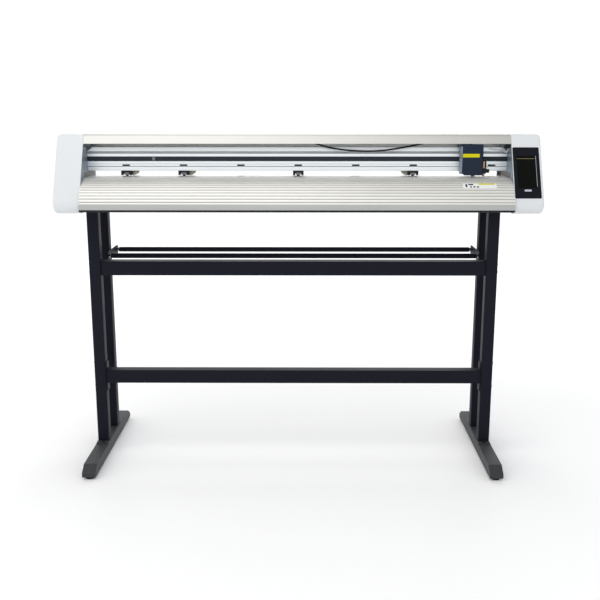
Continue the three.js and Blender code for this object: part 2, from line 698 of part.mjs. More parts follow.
function toolSlide() {
  const { x0, x1, y0, y1, z0, z1 } = CLAMP;
  const front = BASE.y0 - GAP;
  const plate = box(634.5, 649.5, y1 - 1, front, z0, 1060);
  const block = box(x0, x1, y0, y1, z0, z1);
  const channel = box(RAIL.x0 - GAP, RAIL.x1 + GAP, RAIL.y0 - GAP, front + 1, z0 - 1, 1061);
  const bore = rod('z', [TOOL.x, TOOL.y, 0], 4.6, z0 - 1, z1 + 1, 32);
  const thread = rod('x', [0, TOOL.y, 1023], 2.6, TOOL.x, x1 + 1);
  return cut(plate.add(block), [channel, bore, thread]);
}

function bladeHolder() {
  const profile = [[0, 1002.8], [0.8, 1002.8], [4.5, 1009], [4.5, 1032.3], [6.2, 1032.3], [6.2, 1036],
    [4.5, 1036], [4.5, 1055], [3.7, 1056], [0, 1056]];
  return turned('z', [TOOL.x, TOOL.y, 0], profile, 32);
}

function clampKnob() {
  const profile = [[0, 644], [2.5, 644], [2.5, 646.6], [6.6, 646.6], [6.6, 657], [5.6, 658], [0, 658]];
  return turned('x', [0, TOOL.y, 1023], profile, 28);
}

function addCarriage() {
  add('carriage_base', 'plate_steel', carriageBase());
  add('carriage_cover', 'navy_plastic', carriageCover());
  add('tool_slide', 'black_plastic', toolSlide());
  add('blade_holder', 'copper', bladeHolder());
  add('clamp_knob', 'black_plastic', clampKnob());
}

// ---- pinch rollers ------------------------------------------------------------------------------
const PINCH_ROLLER = { y: FEED.y, z: 1009.9, radius: 7, half: 5, axle: 1.5 };
const FORK = { inner: 5.8, outer: 8.2, front: 10.4, z0: 1006.8, z1: 1016.4 };
const PIVOT = { y: 50, z: 1012, radius: 4, pin: 2 };
const BRACKET = { half: 18.5, cheek: 2.5, front: 6, back: 60, z0: 1006, z1: 1018.8, lid: 1021 };

function pinchBracket() {
  const b = BRACKET;
  const lid = box(-b.half, b.half, b.front, BEAM.rear + 3, b.z1, b.lid);
  const window = box(-12.8, 12.8, 9, 32, b.z1 - 1, b.lid + 1);
  const cheeks = [-1, 1].map((s) => {
    const outer = s * b.half;
    const inner = s * (b.half - b.cheek);
    return box(Math.min(outer, inner), Math.max(outer, inner), b.front, b.back, b.z0, b.z1 + 0.5);
  });
  const nose = box(-b.half, b.half, b.front, b.front + 2, b.z0, b.z1 + 0.5);
  const opening = box(-10.5, 10.5, b.front - 1, b.front + 3, b.z0 - 1, b.z1 - 3);
  const spine = box(-b.half, b.half, BEAM.rear + 0.6, BEAM.rear + 3, b.z1, 1049);
  const hook = box(-b.half, b.half, BEAM.rear - 2, BEAM.rear + 3, 1046, 1049);
  const holes = rod('x', [0, PIVOT.y, PIVOT.z], PIVOT.pin + 0.1, -30, 30);
  return cut(joined([lid.subtract(window), ...cheeks, nose, spine, hook]), [opening, holes]);
}

function pinchArm(lever) {
  const tip = BRACKET.half - BRACKET.cheek - GAP;
  const hub = rod('x', [0, PIVOT.y, PIVOT.z], PIVOT.radius, -tip, tip, 16);
  const reach = 24;
  const pin = rod('x', [0, PIVOT.y, PIVOT.z], PIVOT.pin, lever < 0 ? -reach : -18, lever > 0 ? reach : 18, 16);
  const dy = PINCH_ROLLER.y - PIVOT.y;
  const dz = PINCH_ROLLER.z - PIVOT.z;
  const lean = Math.atan2(dz, dy);
  const shape = new THREE.Shape();
  shape.absarc(PIVOT.y, PIVOT.z, 3.6, lean + Math.PI / 2, lean - Math.PI / 2, true);
  shape.absarc(PINCH_ROLLER.y, PINCH_ROLLER.z, 3.6, lean - Math.PI / 2, lean + Math.PI / 2, false);
  shape.closePath();
  const { inner, outer, front, z0, z1 } = FORK;
  const fork = [-outer, inner].map((x) =>
    extrudeX(shape, x, x + outer - inner, 4).add(box(x, x + outer - inner, front, FEED.y, z0 + 0.5, z1 - 3)));
  const nose = box(-outer, outer, front, front + 2, z0, z1);
  const axle = rod('x', [0, PINCH_ROLLER.y, PINCH_ROLLER.z], PINCH_ROLLER.axle, -outer, outer, 12);
  return joined([hub, pin, ...fork, nose, axle, pinchLever(lever)]);
}

// The release lever behind the beam: beside the bracket with its outer lower corner rounded, or in its middle.
function pinchLever(lever) {
  const blade = outline([
    [45, 1006.5, 2], [62, 1006, 6], [96, 1010, 3], [98, 1018, 3], [92, 1018, 3], [62, 1015.6, 6], [45, 1016.6, 2],
  ]);
  if (!lever) {
    return extrudeX(blade, -9, 9, 3);
  }
  const [near, far, top, depth] = [20.6, 42, 1018.2, 12.6];
  const corner = new THREE.Shape();
  corner.moveTo(lever * near, top);
  corner.lineTo(lever * far, top);
  const turn = lever > 0 ? [0, -Math.PI / 2, true] : [Math.PI, 1.5 * Math.PI, false];
  corner.absellipse(lever * near, top, far - near, depth, ...turn, 0);
  corner.closePath();
  return extrudeX(blade, Math.min(lever * near, lever * far), Math.max(lever * near, lever * far), 3)
    .intersect(extrudeY(corner, 40, 64, 4));
}

function pinchRoller() {
  const { y, z, radius, half, axle } = PINCH_ROLLER;
  const bore = axle + 0.06;
  const profile = [[bore, -half], [radius - 0.6, -half], [radius, 0.6 - half], [radius, half - 0.6],
    [radius - 0.6, half], [bore, half], [bore, -half]];
  return turned('x', [0, y, z], profile, 24);
}

function addPinchRollers() {
  PINCH.forEach(({ x, lever }, i) => {
    const at = [x, 0, 0];
    add(`pinch_bracket_${i + 1}`, 'black_plastic', pinchBracket().translate(at));
    add(`pinch_arm_${i + 1}`, 'lever_plastic', pinchArm(lever).translate(at));
    add(`pinch_roller_${i + 1}`, 'rubber', pinchRoller().translate(at));
  });
}

addStand();
addBody();
addDrives();
addCarriage();
addPinchRollers();

export default group;
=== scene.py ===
"""The cutting plotter's looks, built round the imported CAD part. Metres, +Z up, front facing -Y."""

import json
import math

import bmesh
import bpy
from mathutils import Matrix, Vector

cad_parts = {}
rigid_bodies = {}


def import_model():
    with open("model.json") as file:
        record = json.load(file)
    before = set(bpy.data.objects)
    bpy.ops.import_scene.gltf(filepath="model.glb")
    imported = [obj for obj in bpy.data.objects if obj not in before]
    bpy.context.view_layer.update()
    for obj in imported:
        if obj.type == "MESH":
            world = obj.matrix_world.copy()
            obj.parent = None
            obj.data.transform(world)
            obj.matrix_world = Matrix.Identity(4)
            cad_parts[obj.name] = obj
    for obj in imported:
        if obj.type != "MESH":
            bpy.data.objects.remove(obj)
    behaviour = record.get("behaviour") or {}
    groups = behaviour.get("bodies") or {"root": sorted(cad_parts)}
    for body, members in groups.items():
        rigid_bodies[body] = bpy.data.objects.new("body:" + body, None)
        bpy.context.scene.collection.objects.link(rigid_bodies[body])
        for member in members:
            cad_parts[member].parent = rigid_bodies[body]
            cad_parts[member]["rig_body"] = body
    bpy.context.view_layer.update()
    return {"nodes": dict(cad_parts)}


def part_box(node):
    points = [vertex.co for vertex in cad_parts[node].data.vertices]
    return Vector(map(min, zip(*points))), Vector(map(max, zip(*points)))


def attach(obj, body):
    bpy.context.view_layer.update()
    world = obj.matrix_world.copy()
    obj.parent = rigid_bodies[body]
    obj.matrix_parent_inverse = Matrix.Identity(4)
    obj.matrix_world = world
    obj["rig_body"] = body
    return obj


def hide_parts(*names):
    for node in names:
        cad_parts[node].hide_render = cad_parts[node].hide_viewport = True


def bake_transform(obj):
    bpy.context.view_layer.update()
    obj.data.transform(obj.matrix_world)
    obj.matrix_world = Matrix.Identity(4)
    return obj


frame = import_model()

NODES = frame["nodes"]
SIDES = {"left": -1, "right": 1}
GAP = 0.0003        # between neighbouring pieces
# where u, v and the length go, for each drawing axis
AXES = {"x": (1, 2, 0), "y": (0, 2, 1), "z": (0, 1, 2)}

# ---- camera, light and floor ----
LENS = 51.9
CAMERA_PLACE = (0.0245, -3.034, 1.2395)
CAMERA_TURN = (77.4, 0.0, 0.35)     # degrees
AIM = (0.0, 0.0, 0.95)
SOFTBOXES = {
    # name: place, width, height, brightness added to what is behind it
    "key": ((-1.0, -2.0, 3.0), 4.4, 2.4, 0.86),
    "over": ((-0.4, 0.1, 3.4), 4.2, 1.9, 0.6),
    "rear": ((0.0, 4.2, 3.0), 4.4, 2.2, 1.7),
}
# tones of the world by height of direction, from left to right and from front to back
WORLD_TONES = [(0.0, 0.9), (0.5, 1.06), (0.58, 1.06), (0.72, 0.86), (1.0, 0.7)]
WORLD_SIDES = [(0.0, (1.06, 1.05, 1.03)), (0.5, (1.0, 1.0, 1.0)), (1.0, (0.91, 0.94, 0.97))]
WORLD_DEPTH = [(0.0, 0.84), (0.45, 0.92), (0.8, 1.0)]
FLOOR_HALF = 14.0
FLOOR_COLOUR = (0.93, 0.93, 0.935)
FLOOR_GLOW = ((0.8, 0.06), (5.0, 0.34))      # near and far: distance and strength of the floor's own light


def add_object(name, data):
    made = bpy.data.objects.new(name, data)
    bpy.context.scene.collection.objects.link(made)
    return made


def add_camera():
    data = bpy.data.cameras.new("camera")
    data.lens = LENS
    camera = add_object("camera", data)
    camera.location = CAMERA_PLACE
    camera.rotation_euler = [math.radians(a) for a in CAMERA_TURN]
    bpy.context.scene.camera = camera


def add_lights():
    for name, (place, width, height, brightness) in SOFTBOXES.items():
        data = bpy.data.lights.new(name, "AREA")
        data.shape = "RECTANGLE"
        data.size = width
        data.size_y = height
        data.energy = brightness * math.pi * width * height
        light = add_object(name, data)
        light.location = place
        light.rotation_euler = (Vector(AIM) - Vector(place)).to_track_quat("-Z", "Y").to_euler()


def add_world():
    """A studio all round: ramps by height, from left to right and from front to back, multiplied."""
    world = bpy.data.worlds.new("studio")
    world.use_nodes = True
    bpy.context.scene.world = world
    nodes, links = world.node_tree.nodes, world.node_tree.links
    coords = nodes.new("ShaderNodeTexCoord")
    split = nodes.new("ShaderNodeSeparateXYZ")
    links.new(coords.outputs["Generated"], split.inputs[0])
    product = None
    for axis, tones in (("Z", WORLD_TONES), ("X", WORLD_SIDES), ("Y", WORLD_DEPTH)):
        share = nodes.new("ShaderNodeMapRange")
        share.inputs["From Min"].default_value = -1.0
        links.new(split.outputs[axis], share.inputs["Value"])
        ramp = nodes.new("ShaderNodeValToRGB")
        links.new(share.outputs["Result"], ramp.inputs["Fac"])
        steps = ramp.color_ramp.elements
        while len(steps) < len(tones):
            steps.new(0.5)
        for step, (place, tone) in zip(steps, tones):
            step.position = place
            step.color = (*tone, 1) if isinstance(tone, tuple) else (tone, tone, tone, 1)
        if product is None:
            product = ramp.outputs["Color"]
            continue
        times = nodes.new("ShaderNodeVectorMath")
        times.operation = "MULTIPLY"
        links.new(product, times.inputs[0])
        links.new(ramp.outputs["Color"], times.inputs[1])
        product = times.outputs["Vector"]
    links.new(product, nodes["Background"].inputs["Color"])


def add_floor():
    mesh = bpy.data.meshes.new("floor")
    h = FLOOR_HALF
    mesh.from_pydata([(-h, -h, 0), (h, -h, 0), (h, h, 0), (-h, h, 0)], [], [(0, 1, 2, 3)])
    floor = add_object("floor", mesh)
    look = Look("floor", FLOOR_COLOUR, roughness=0.7)
    look.tint(look.noise((1.5, 1.5, 1.5)), 0.995, 1.005)
    look.shader.inputs["Emission Color"].default_value = (1, 1, 1, 1)
    coords = look.node("ShaderNodeTexCoord")
    distance = look.node("ShaderNodeVectorMath", {0: coords.outputs["Object"]}, operation="LENGTH")
    (near, low), (far, high) = FLOOR_GLOW
    glow = look.node("ShaderNodeMapRange", {"Value": distance.outputs["Value"], "From Min": near,
                                            "From Max": far, "To Min": low, "To Max": high})
    look.tree.links.new(glow.outputs["Result"], look.shader.inputs["Emission Strength"])
    mesh.materials.append(look.material)


# ---- materials ----
class Look:
    """A Principled material whose colour, gloss and relief are driven by procedural textures."""

    def __init__(self, name, colour, metallic=0.0, roughness=0.5, specular=0.5):
        self.material = bpy.data.materials.new(name)
        self.material.use_nodes = True
        self.tree = self.material.node_tree
        self.shader = self.tree.nodes["Principled BSDF"]
        self.colour = colour
        self.normal = None
        for socket, value in (
            ("Base Color", (*colour, 1)), ("Metallic", metallic), ("Roughness", roughness),
            ("Specular IOR Level", specular)
        ):
            self.shader.inputs[socket].default_value = value

    def node(self, kind, inputs=(), **settings):
        made = self.tree.nodes.new(kind)
        for key, value in settings.items():
            setattr(made, key, value)
        for key, value in dict(inputs).items():
            if isinstance(value, bpy.types.NodeSocket):
                self.tree.links.new(value, made.inputs[key])
            else:
                made.inputs[key].default_value = value
        return made

    def place(self, scale, turn=(0, 0, 0)):
        """Object coordinates times a scale on each axis: a low one draws the pattern out along it."""
        coords = self.node("ShaderNodeTexCoord")
        angles = [math.radians(a) for a in turn]
        made = self.node("ShaderNodeMapping",
                         {"Vector": coords.outputs["Object"], "Scale": scale, "Rotation": angles})
        return made.outputs["Vector"]

    def noise(self, scale):
        inputs = {"Vector": self.place(scale), "Scale": 1.0, "Detail": 3.0}
        return self.node("ShaderNodeTexNoise", inputs).outputs["Fac"]

    def cells(self, scale):
        made = self.node("ShaderNodeTexVoronoi", {"Vector": self.place(scale), "Scale": 1.0})
        return made.outputs["Distance"]

    def ridges(self, scale, turn):
        inputs = {"Vector": self.place((1, 1, 1), turn), "Scale": scale}
        return self.node("ShaderNodeTexWave", inputs, bands_direction="X").outputs["Fac"]

    def blend(self, a, b, how="MULTIPLY"):
        return self.node("ShaderNodeMath", {0: a, 1: b}, operation=how).outputs[0]

    def tint(self, factor, low, high):
        ramp = self.node("ShaderNodeValToRGB", {"Fac": factor})
        for step, place, share in zip(ramp.color_ramp.elements, (0.32, 0.68), (low, high)):
            step.position = place
            step.color = (*[min(c * share, 1) for c in self.colour], 1)
        self.tree.links.new(ramp.outputs["Color"], self.shader.inputs["Base Color"])

    def gloss(self, factor, low, high):
        made = self.node("ShaderNodeMapRange", {"Value": factor, "From Min": 0.3, "From Max": 0.7,
                                                "To Min": low, "To Max": high})
        self.tree.links.new(made.outputs["Result"], self.shader.inputs["Roughness"])

    def relief(self, height, depth, strength=1.0):
        inputs = {"Height": height, "Distance": depth, "Strength": strength}
        if self.normal:
            inputs["Normal"] = self.normal
        self.normal = self.node("ShaderNodeBump", inputs).outputs["Normal"]
        self.tree.links.new(self.normal, self.shader.inputs["Normal"])


# name: colour, metallic, roughness from and to, grain per metre (one number or x, y, z), grain depth,
# tone spread, specular level
LOOK_TABLE = {
    "anodised": ((0.77, 0.762, 0.722), 0.55, 0.34, 0.46, (4, 520, 520), 0.00006, 0.04, 0.5),
    "cover_alloy": ((0.6, 0.592, 0.562), 1.0, 0.34, 0.46, (4, 520, 520), 0.00006, 0.04, 0.5),
    # a darker copy of the guides' look for their lowest band: painted shade
    "apron_painted_shade": ((0.46, 0.468, 0.465), 0.55, 0.36, 0.48, (4, 520, 520), 0.00006, 0.05, 0.5),
    # a darker copy of the guides' look for the grooves' floors: painted shade
    "groove_painted_shade": ((0.42, 0.418, 0.405), 0.6, 0.5, 0.65, (4, 520, 520), 0.00006, 0.1, 0.3),
    "beam_alloy": ((0.9, 0.945, 0.985), 0.8, 0.34, 0.46, (4, 600, 600), 0.00005, 0.04, 0.5),
    "white_plastic": ((0.7, 0.72, 0.735), 0.0, 0.36, 0.5, 900, 0.00009, 0.02, 0.4),
    "powder_coat": ((0.007, 0.008, 0.015), 0.0, 0.42, 0.58, 420, 0.00022, 0.16, 0.11),
    "foot_paint": ((0.036, 0.038, 0.042), 0.0, 0.45, 0.62, 480, 0.00025, 0.16, 0.3),
    "rubber": ((0.02, 0.021, 0.023), 0.0, 0.62, 0.85, 900, 0.0002, 0.2, 0.3),
    "plate_steel": ((0.25, 0.3, 0.365), 0.55, 0.4, 0.55, 300, 0.00008, 0.07, 0.5),
    "bracket_paint": ((0.17, 0.163, 0.156), 0.2, 0.45, 0.6, 300, 0.0001, 0.1, 0.3),
    "black_plastic": ((0.01, 0.011, 0.014), 0.0, 0.36, 0.5, 1100, 0.0001, 0.15, 0.22),
    "panel_gloss": ((0.006, 0.007, 0.012), 0.0, 0.06, 0.12, 40, 0.00001, 0.12, 0.14),
    "display_gloss": ((0.005, 0.005, 0.0045), 0.0, 0.04, 0.08, 60, 0.00001, 0.2, 0.05),
    "belt_rubber": ((0.02, 0.025, 0.036), 0.0, 0.5, 0.66, (250, 900, 900), 0.00012, 0.15, 0.3),
    "bright_steel": ((0.62, 0.63, 0.64), 1.0, 0.18, 0.32, 900, 0.00003, 0.05, 0.5),
    "dull_steel": ((0.2, 0.215, 0.23), 0.8, 0.35, 0.5, 900, 0.00005, 0.1, 0.5),
    "motor_paint": ((0.02, 0.02, 0.022), 0.2, 0.36, 0.5, 700, 0.00012, 0.15, 0.4),
    "circuit": ((0.015, 0.11, 0.045), 0.0, 0.3, 0.4, 500, 0.0001, 0.25, 0.5),
    "strip_plastic": ((0.74, 0.74, 0.71), 0.0, 0.5, 0.66, (60, 700, 700), 0.0001, 0.04, 0.4),
    "cable": ((0.008, 0.008, 0.01), 0.0, 0.38, 0.52, 600, 0.00008, 0.2, 0.2),
    "wire": ((0.82, 0.84, 0.84), 0.0, 0.4, 0.52, 600, 0.00005, 0.04, 0.5),
    "navy_plastic": ((0.0115, 0.02, 0.041), 0.0, 0.34, 0.48, 800, 0.0001, 0.1, 0.17),
    "copper": ((0.72, 0.42, 0.28), 1.0, 0.22, 0.36, (900, 900, 500), 0.00003, 0.1, 0.5),
    "lever_plastic": ((0.4, 0.38, 0.31), 0.0, 0.42, 0.56, 800, 0.00009, 0.05, 0.4),
    "grit": ((0.34, 0.34, 0.35), 0.9, 0.45, 0.75, 2200, 0.0003, 0.35, 0.5),
    "sticker_white": ((0.8, 0.82, 0.82), 0.0, 0.3, 0.4, 300, 0.00002, 0.015, 0.4),
    "sticker_yellow": ((0.64, 0.58, 0.004), 0.0, 0.34, 0.46, 300, 0.00002, 0.03, 0.12),
    "sticker_black": ((0.01, 0.011, 0.015), 0.0, 0.35, 0.5, 300, 0.00002, 0.1, 0.15),
    "gold_line": ((0.34, 0.3, 0.14), 0.3, 0.25, 0.35, 300, 0.00002, 0.03, 0.5),
    "status_bar": ((0.52, 0.55, 0.6), 0.3, 0.25, 0.35, 300, 0.00002, 0.03, 0.5),
}
CLOUDS = (5.0, 5.0, 5.0)        # per metre: the broad part of every look's tone
GRIT = {"cells": (1500, 1500, 1500), "depth": 0.0003}       # per metre
KNURL = {"scale": 300, "turn": 35, "depth": 0.0001, "strength": 0.4}     # crossed ridges, turned both ways
LOOKS = {}


def make_looks():
    for name, (colour, metallic, rough0, rough1, grain, depth, spread, specular) in LOOK_TABLE.items():
        look = Look(name, colour, metallic, (rough0 + rough1) / 2, specular)
        fine = look.noise(grain if isinstance(grain, tuple) else (grain, grain, grain))
        broad = look.noise(CLOUDS)
        mixed = look.blend(look.blend(fine, broad, "ADD"), 0.5)
        look.tint(mixed, 1 - spread, 1 + spread)
        look.gloss(mixed, rough0, rough1)
        look.relief(fine, depth)
        LOOKS[name] = look
    grit, copper = LOOKS["grit"], LOOKS["copper"]
    grit.relief(grit.cells(GRIT["cells"]), GRIT["depth"])
    ways = [copper.ridges(KNURL["scale"], (0, 0, turn)) for turn in (KNURL["turn"], -KNURL["turn"])]
    copper.relief(copper.blend(*ways), KNURL["depth"], KNURL["strength"])


# ---- mesh building ----
def rounded(corners, steps=6):
    """The points of a closed outline of (u, v, radius) corners, with an arc of steps at each corner."""
    points = []
    n = len(corners)
    for i, corner in enumerate(corners):
        here = Vector(corner[:2])
        radius = corner[2] if len(corner) > 2 else 0
        if not radius:
            points.append(here)
            continue
        back = (Vector(corners[i - 1][:2]) - here).normalized()
        ahead = (Vector(corners[(i + 1) % n][:2]) - here).normalized()
        half = math.acos(max(-1, min(1, back.dot(ahead)))) / 2
        centre = here + (back + ahead).normalized() * radius / math.sin(half)
        start = here + back * radius / math.tan(half) - centre
        end = here + ahead * radius / math.tan(half) - centre
        sweep = start.angle_signed(end)
        for k in range(steps + 1):
            turned = start.copy()
            turned.rotate(Matrix.Rotation(-sweep * k / steps, 2))
            points.append(centre + turned)
    return points


def rectangle(u0, u1, v0, v1, radius=0.0, steps=6):
    return rounded([(u0, v0, radius), (u1, v0, radius), (u1, v1, radius), (u0, v1, radius)], steps)


def mirrored(half, x0, x1):
    """A whole profile from its (radius, in) points at one end: the same ones again from the other end."""
    return [(r, x0 + a) for r, a in half] + [(r, x1 - a) for r, a in reversed(half)]


def arc(u, v, radius, start, end, steps):
    """Points round (u, v) from start to end degrees, both included."""
    angles = [math.radians(start + (end - start) * k / steps) for k in range(steps + 1)]
    return [Vector((u + radius * math.cos(a), v + radius * math.sin(a))) for a in angles]


def spatial(axis, u, v, along):
    place = [0.0, 0.0, 0.0]
    for slot, value in zip(AXES[axis], (u, v, along)):
        place[slot] = value
    return Vector(place)


class Build:
    """Gathers the closed shells of one piece, then makes its object."""

    def __init__(self):
        self.bm = bmesh.new()

    def loop(self, points):
        return [self.bm.verts.new(p) for p in points]

    def skin(self, loops, ends=True):
        """Joins loops of one length in turn and, with ends, closes the first and the last."""
        for a, b in zip(loops, loops[1:]):
            n = len(a)
            for i in range(n):
                self.bm.faces.new((a[i], a[(i + 1) % n], b[(i + 1) % n], b[i]))
        if ends:
            self.bm.faces.new(loops[0][::-1])
            self.bm.faces.new(loops[-1])

    def prism(self, outline, axis, start, end, inner=None):
        """An outline drawn out along an axis; with inner, a tube whose two outlines have as many points."""
        stations = [self.loop([spatial(axis, p[0], p[1], a) for p in outline]) for a in (start, end)]
        if inner is None:
            self.skin(stations)
            return self
        holes = [self.loop([spatial(axis, p[0], p[1], a) for p in inner]) for a in (start, end)]
        self.skin([holes[0], stations[0], stations[1], holes[1], holes[0]], ends=False)
        return self

    def block(self, x0, x1, y0, y1, z0, z1):
        return self.prism([(x0, y0), (x1, y0), (x1, y1), (x0, y1)], "z", z0, z1)

    def lathe(self, axis, centre, profile, steps):
        """Turns a profile of (radius, along) round an axis through centre; off the axis it is a ring."""
        centre = Vector(centre)
        loops = []
        for radius, along in profile:
            ring = []
            for k in range(steps if radius else 1):
                a = 2 * math.pi * k / steps
                ring.append(centre + spatial(axis, radius * math.cos(a), radius * math.sin(a), along))
            loops.append(self.loop(ring))
        pairs = list(zip(loops, loops[1:]))
        if profile[0][0]:
            pairs.append((loops[-1], loops[0]))
        for a, b in pairs:
            if len(a) == 1 and len(b) == 1:
                continue
            for i in range(steps):
                j = (i + 1) % steps
                if len(a) == 1:
                    self.bm.faces.new((a[0], b[j], b[i]))
                elif len(b) == 1:
                    self.bm.faces.new((a[i], a[j], b[0]))
                else:
                    self.bm.faces.new((a[i], a[j], b[j], b[i]))
        return self

    def head(self, axis, centre, out, radius, height):
        """A domed screw head with a round socket, standing out by height from centre."""
        shape = [(0, 0), (1, 0), (1, 0.2), (0.9, 0.65), (0.66, 0.95), (0.5, 1), (0.5, 0.45), (0, 0.45)]
        return self.lathe(axis, centre, [(r * radius, a * out * height) for r, a in shape], 20)

    def nut(self, axis, centre, start, end, radius):
        """A hexagon nut with chamfered corners round a centre on an axis."""
        u, v, _ = [centre[k] for k in AXES[axis]]
        stations = []
        edge = (end - start) * 0.14
        for along, share in ((start, 0.88), (start + edge, 1), (end - edge, 1), (end, 0.88)):
            corners = arc(u, v, radius * share, 0, 360, 6)[:-1]
            stations.append(self.loop([spatial(axis, p[0], p[1], along) for p in corners]))
        self.skin(stations)
        return self

    def tube(self, path, radius, sides):
        """A round tube along a path with closed ends; radius may be a list with a value for each point."""
        loops = []
        side = Vector((0, 1, 0))
        for i, point in enumerate(path):
            along = (path[min(i + 1, len(path) - 1)] - path[max(i - 1, 0)]).normalized()
            side = (side - along * side.dot(along)).normalized()
            up = along.cross(side)
            ring = [2 * math.pi * k / sides for k in range(sides)]
            r = radius[i] if isinstance(radius, list) else radius
            loops.append(self.loop([point + (side * math.cos(a) + up * math.sin(a)) * r for a in ring]))
        self.skin(loops)
        return self

    def place(self, matrix):
        self.bm.transform(matrix)
        return self

    def piece(self, name, look, body, *replaced, soft=0.0, segments=2, sharp=32):
        bmesh.ops.recalc_face_normals(self.bm, faces=self.bm.faces)
        mesh = bpy.data.meshes.new(name)
        self.bm.to_mesh(mesh)
        self.bm.free()
        obj = add_object(name, mesh)
        finish_mesh(obj, look, soft, segments, sharp)
        return settle(obj, look, body, *replaced)


def finish_mesh(obj, look, soft, segments, sharp):
    mesh = obj.data
    mesh.materials.clear()
    mesh.materials.append(LOOKS[look].material)
    mesh.shade_smooth()
    mesh.set_sharp_from_angle(angle=math.radians(sharp))
    if soft:
        edges = obj.modifiers.new("edges", "BEVEL")
        edges.width = soft
        edges.segments = segments
        edges.limit_method = "ANGLE"
        edges.angle_limit = math.radians(sharp)
        edges.harden_normals = True


def settle(obj, look, body, *replaced):
    """Rides the piece on its body and hides the CAD nodes that it replaces."""
    if body:
        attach(obj, body)
    if replaced:
        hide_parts(*replaced)
    return obj


def reskin(node, look, soft=0.0004, segments=2, sharp=32):
    """The CAD node's own shape as a piece with whole faces, softened edges and a finished look."""
    b = Build()
    b.bm.from_mesh(NODES[node].data)
    bmesh.ops.remove_doubles(b.bm, verts=b.bm.verts, dist=2e-6)
    bmesh.ops.dissolve_limit(b.bm, angle_limit=math.radians(0.5), verts=b.bm.verts, edges=b.bm.edges)
    body = NODES[node]["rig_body"]
    return b.piece(node + "_skin", look, body, node, soft=soft, segments=segments, sharp=sharp)


def edges_of(node):
    low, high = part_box(node)
    return low.x, high.x, low.y, high.y, low.z, high.z


def axle_of(node):
    """The two ends, the middle line and the radius of a round node that lies along X."""
    x0, x1, y0, y1, z0, z1 = edges_of(node)
    return x0, x1, (0, (y0 + y1) / 2, (z0 + z1) / 2), (z1 - z0) / 2


# ---- stand ----
POST_WALL = 0.002
POST_CORNER = 0.004
POST_BOLTS = (0.34, 0.253, 0.672, 0.7)       # heights, for the crossbars and for the roll brackets
CROSSBAR_FLANGE = 0.03
BOLT_HEAD = (0.0065, 0.0045)          # radius and height
FOOT = {"half": 0.3, "base": 0.008, "tip": 0.024, "slope": 0.033, "block": 0.045, "wall": 0.003,
        "top": 0.045, "plate": (-0.088, 0.149), "plate_top": 0.049, "bolt": 0.006, "bolt_in": 0.011}
ROLL_BAR = {"journal": 0.004, "inset": 0.0173, "nut": 0.0078, "nut_in": 0.0105}


def tube_outlines(u0, u1, v0, v1, wall=POST_WALL, corner=POST_CORNER):
    outer = rectangle(u0, u1, v0, v1, corner, 5)
    inner = rectangle(u0 + wall, u1 - wall, v0 + wall, v1 - wall, corner - wall, 5)
    return outer, inner


def add_posts():
    for side, s in SIDES.items():
        for end in ("front", "rear"):
            node = f"post_{end}_{side}"
            x0, x1, y0, y1, z0, z1 = edges_of(node)
            outer, inner = tube_outlines(x0, x1, y0, y1)
            Build().prism(outer, "z", z0, z1, inner).piece(node + "_tube", "powder_coat", "machine", node,
                                                           soft=0.0003)
        x0, x1, y0, y1, _, _ = edges_of(f"post_front_{side}")
        face = x1 if s > 0 else x0
        bolts = Build()
        for z in POST_BOLTS:
            bolts.head("x", (face, (y0 + y1) / 2 + 0.002, z), s, *BOLT_HEAD)
        bolts.piece(f"post_bolts_{side}", "black_plastic", "machine")


def add_crossbars():
    x0, x1, y0, y1, z0, z1 = edges_of("crossbar_upper")
    outer, inner = tube_outlines(y0, y1, z0, z1)
    Build().prism(outer, "x", x0, x1, inner).piece("crossbar_upper_tube", "powder_coat", "machine",
                                                   "crossbar_upper", soft=0.0003)
    x0, x1, y0, y1, z0, z1 = edges_of("crossbar_lower")
    outer, inner = tube_outlines(y0, y1, z0 + CROSSBAR_FLANGE, z1 - CROSSBAR_FLANGE)
    b = Build().prism(outer, "x", x0, x1, inner)
    for start, end in ((x0, x0 + 0.003), (x1 - 0.003, x1)):
        b.prism(rectangle(y0 + 0.0005, y1 - 0.008, z0, z1, 0.006), "x", start, end)
    b.piece("crossbar_lower_tube", "powder_coat", "machine", "crossbar_lower", soft=0.0003)


def add_foot(side):
    """A channel open below with sloping ends, the plate welded on it and the plate's two bolts."""
    node = f"foot_{side}"
    x0, x1 = edges_of(node)[:2]
    half, top, wall, plate_top = [FOOT[key] for key in ("half", "top", "wall", "plate_top")]
    slope = half - FOOT["slope"]
    profile = [(-half, FOOT["base"]), (half, FOOT["base"]), (half, FOOT["tip"], 0.003), (slope, top, 0.008),
               (-slope, top, 0.008), (-half, FOOT["tip"], 0.003)]
    foot = Build().prism(rounded(profile), "x", x0, x1).piece(node + "_channel", "foot_paint", None, node)
    hollow = half - FOOT["block"]
    inside = Build().block(x0 + wall, x1 - wall, -hollow, hollow, -0.01, top - wall)
    carve(foot, [inside], "foot_paint", "machine", 0.0012, 3)
    front, rear = FOOT["plate"]
    Build().block(x0 + 0.001, x1 - 0.001, front, rear, top - 0.0005, plate_top).piece(
        node + "_plate", "foot_paint", "machine", soft=0.0006)
    bolts = Build()
    for y in (front + FOOT["bolt_in"], rear - FOOT["bolt_in"]):
        bolts.nut("z", ((x0 + x1) / 2, y, 0), plate_top, plate_top + 0.005, FOOT["bolt"])
    bolts.piece(node + "_bolts", "black_plastic", "machine")


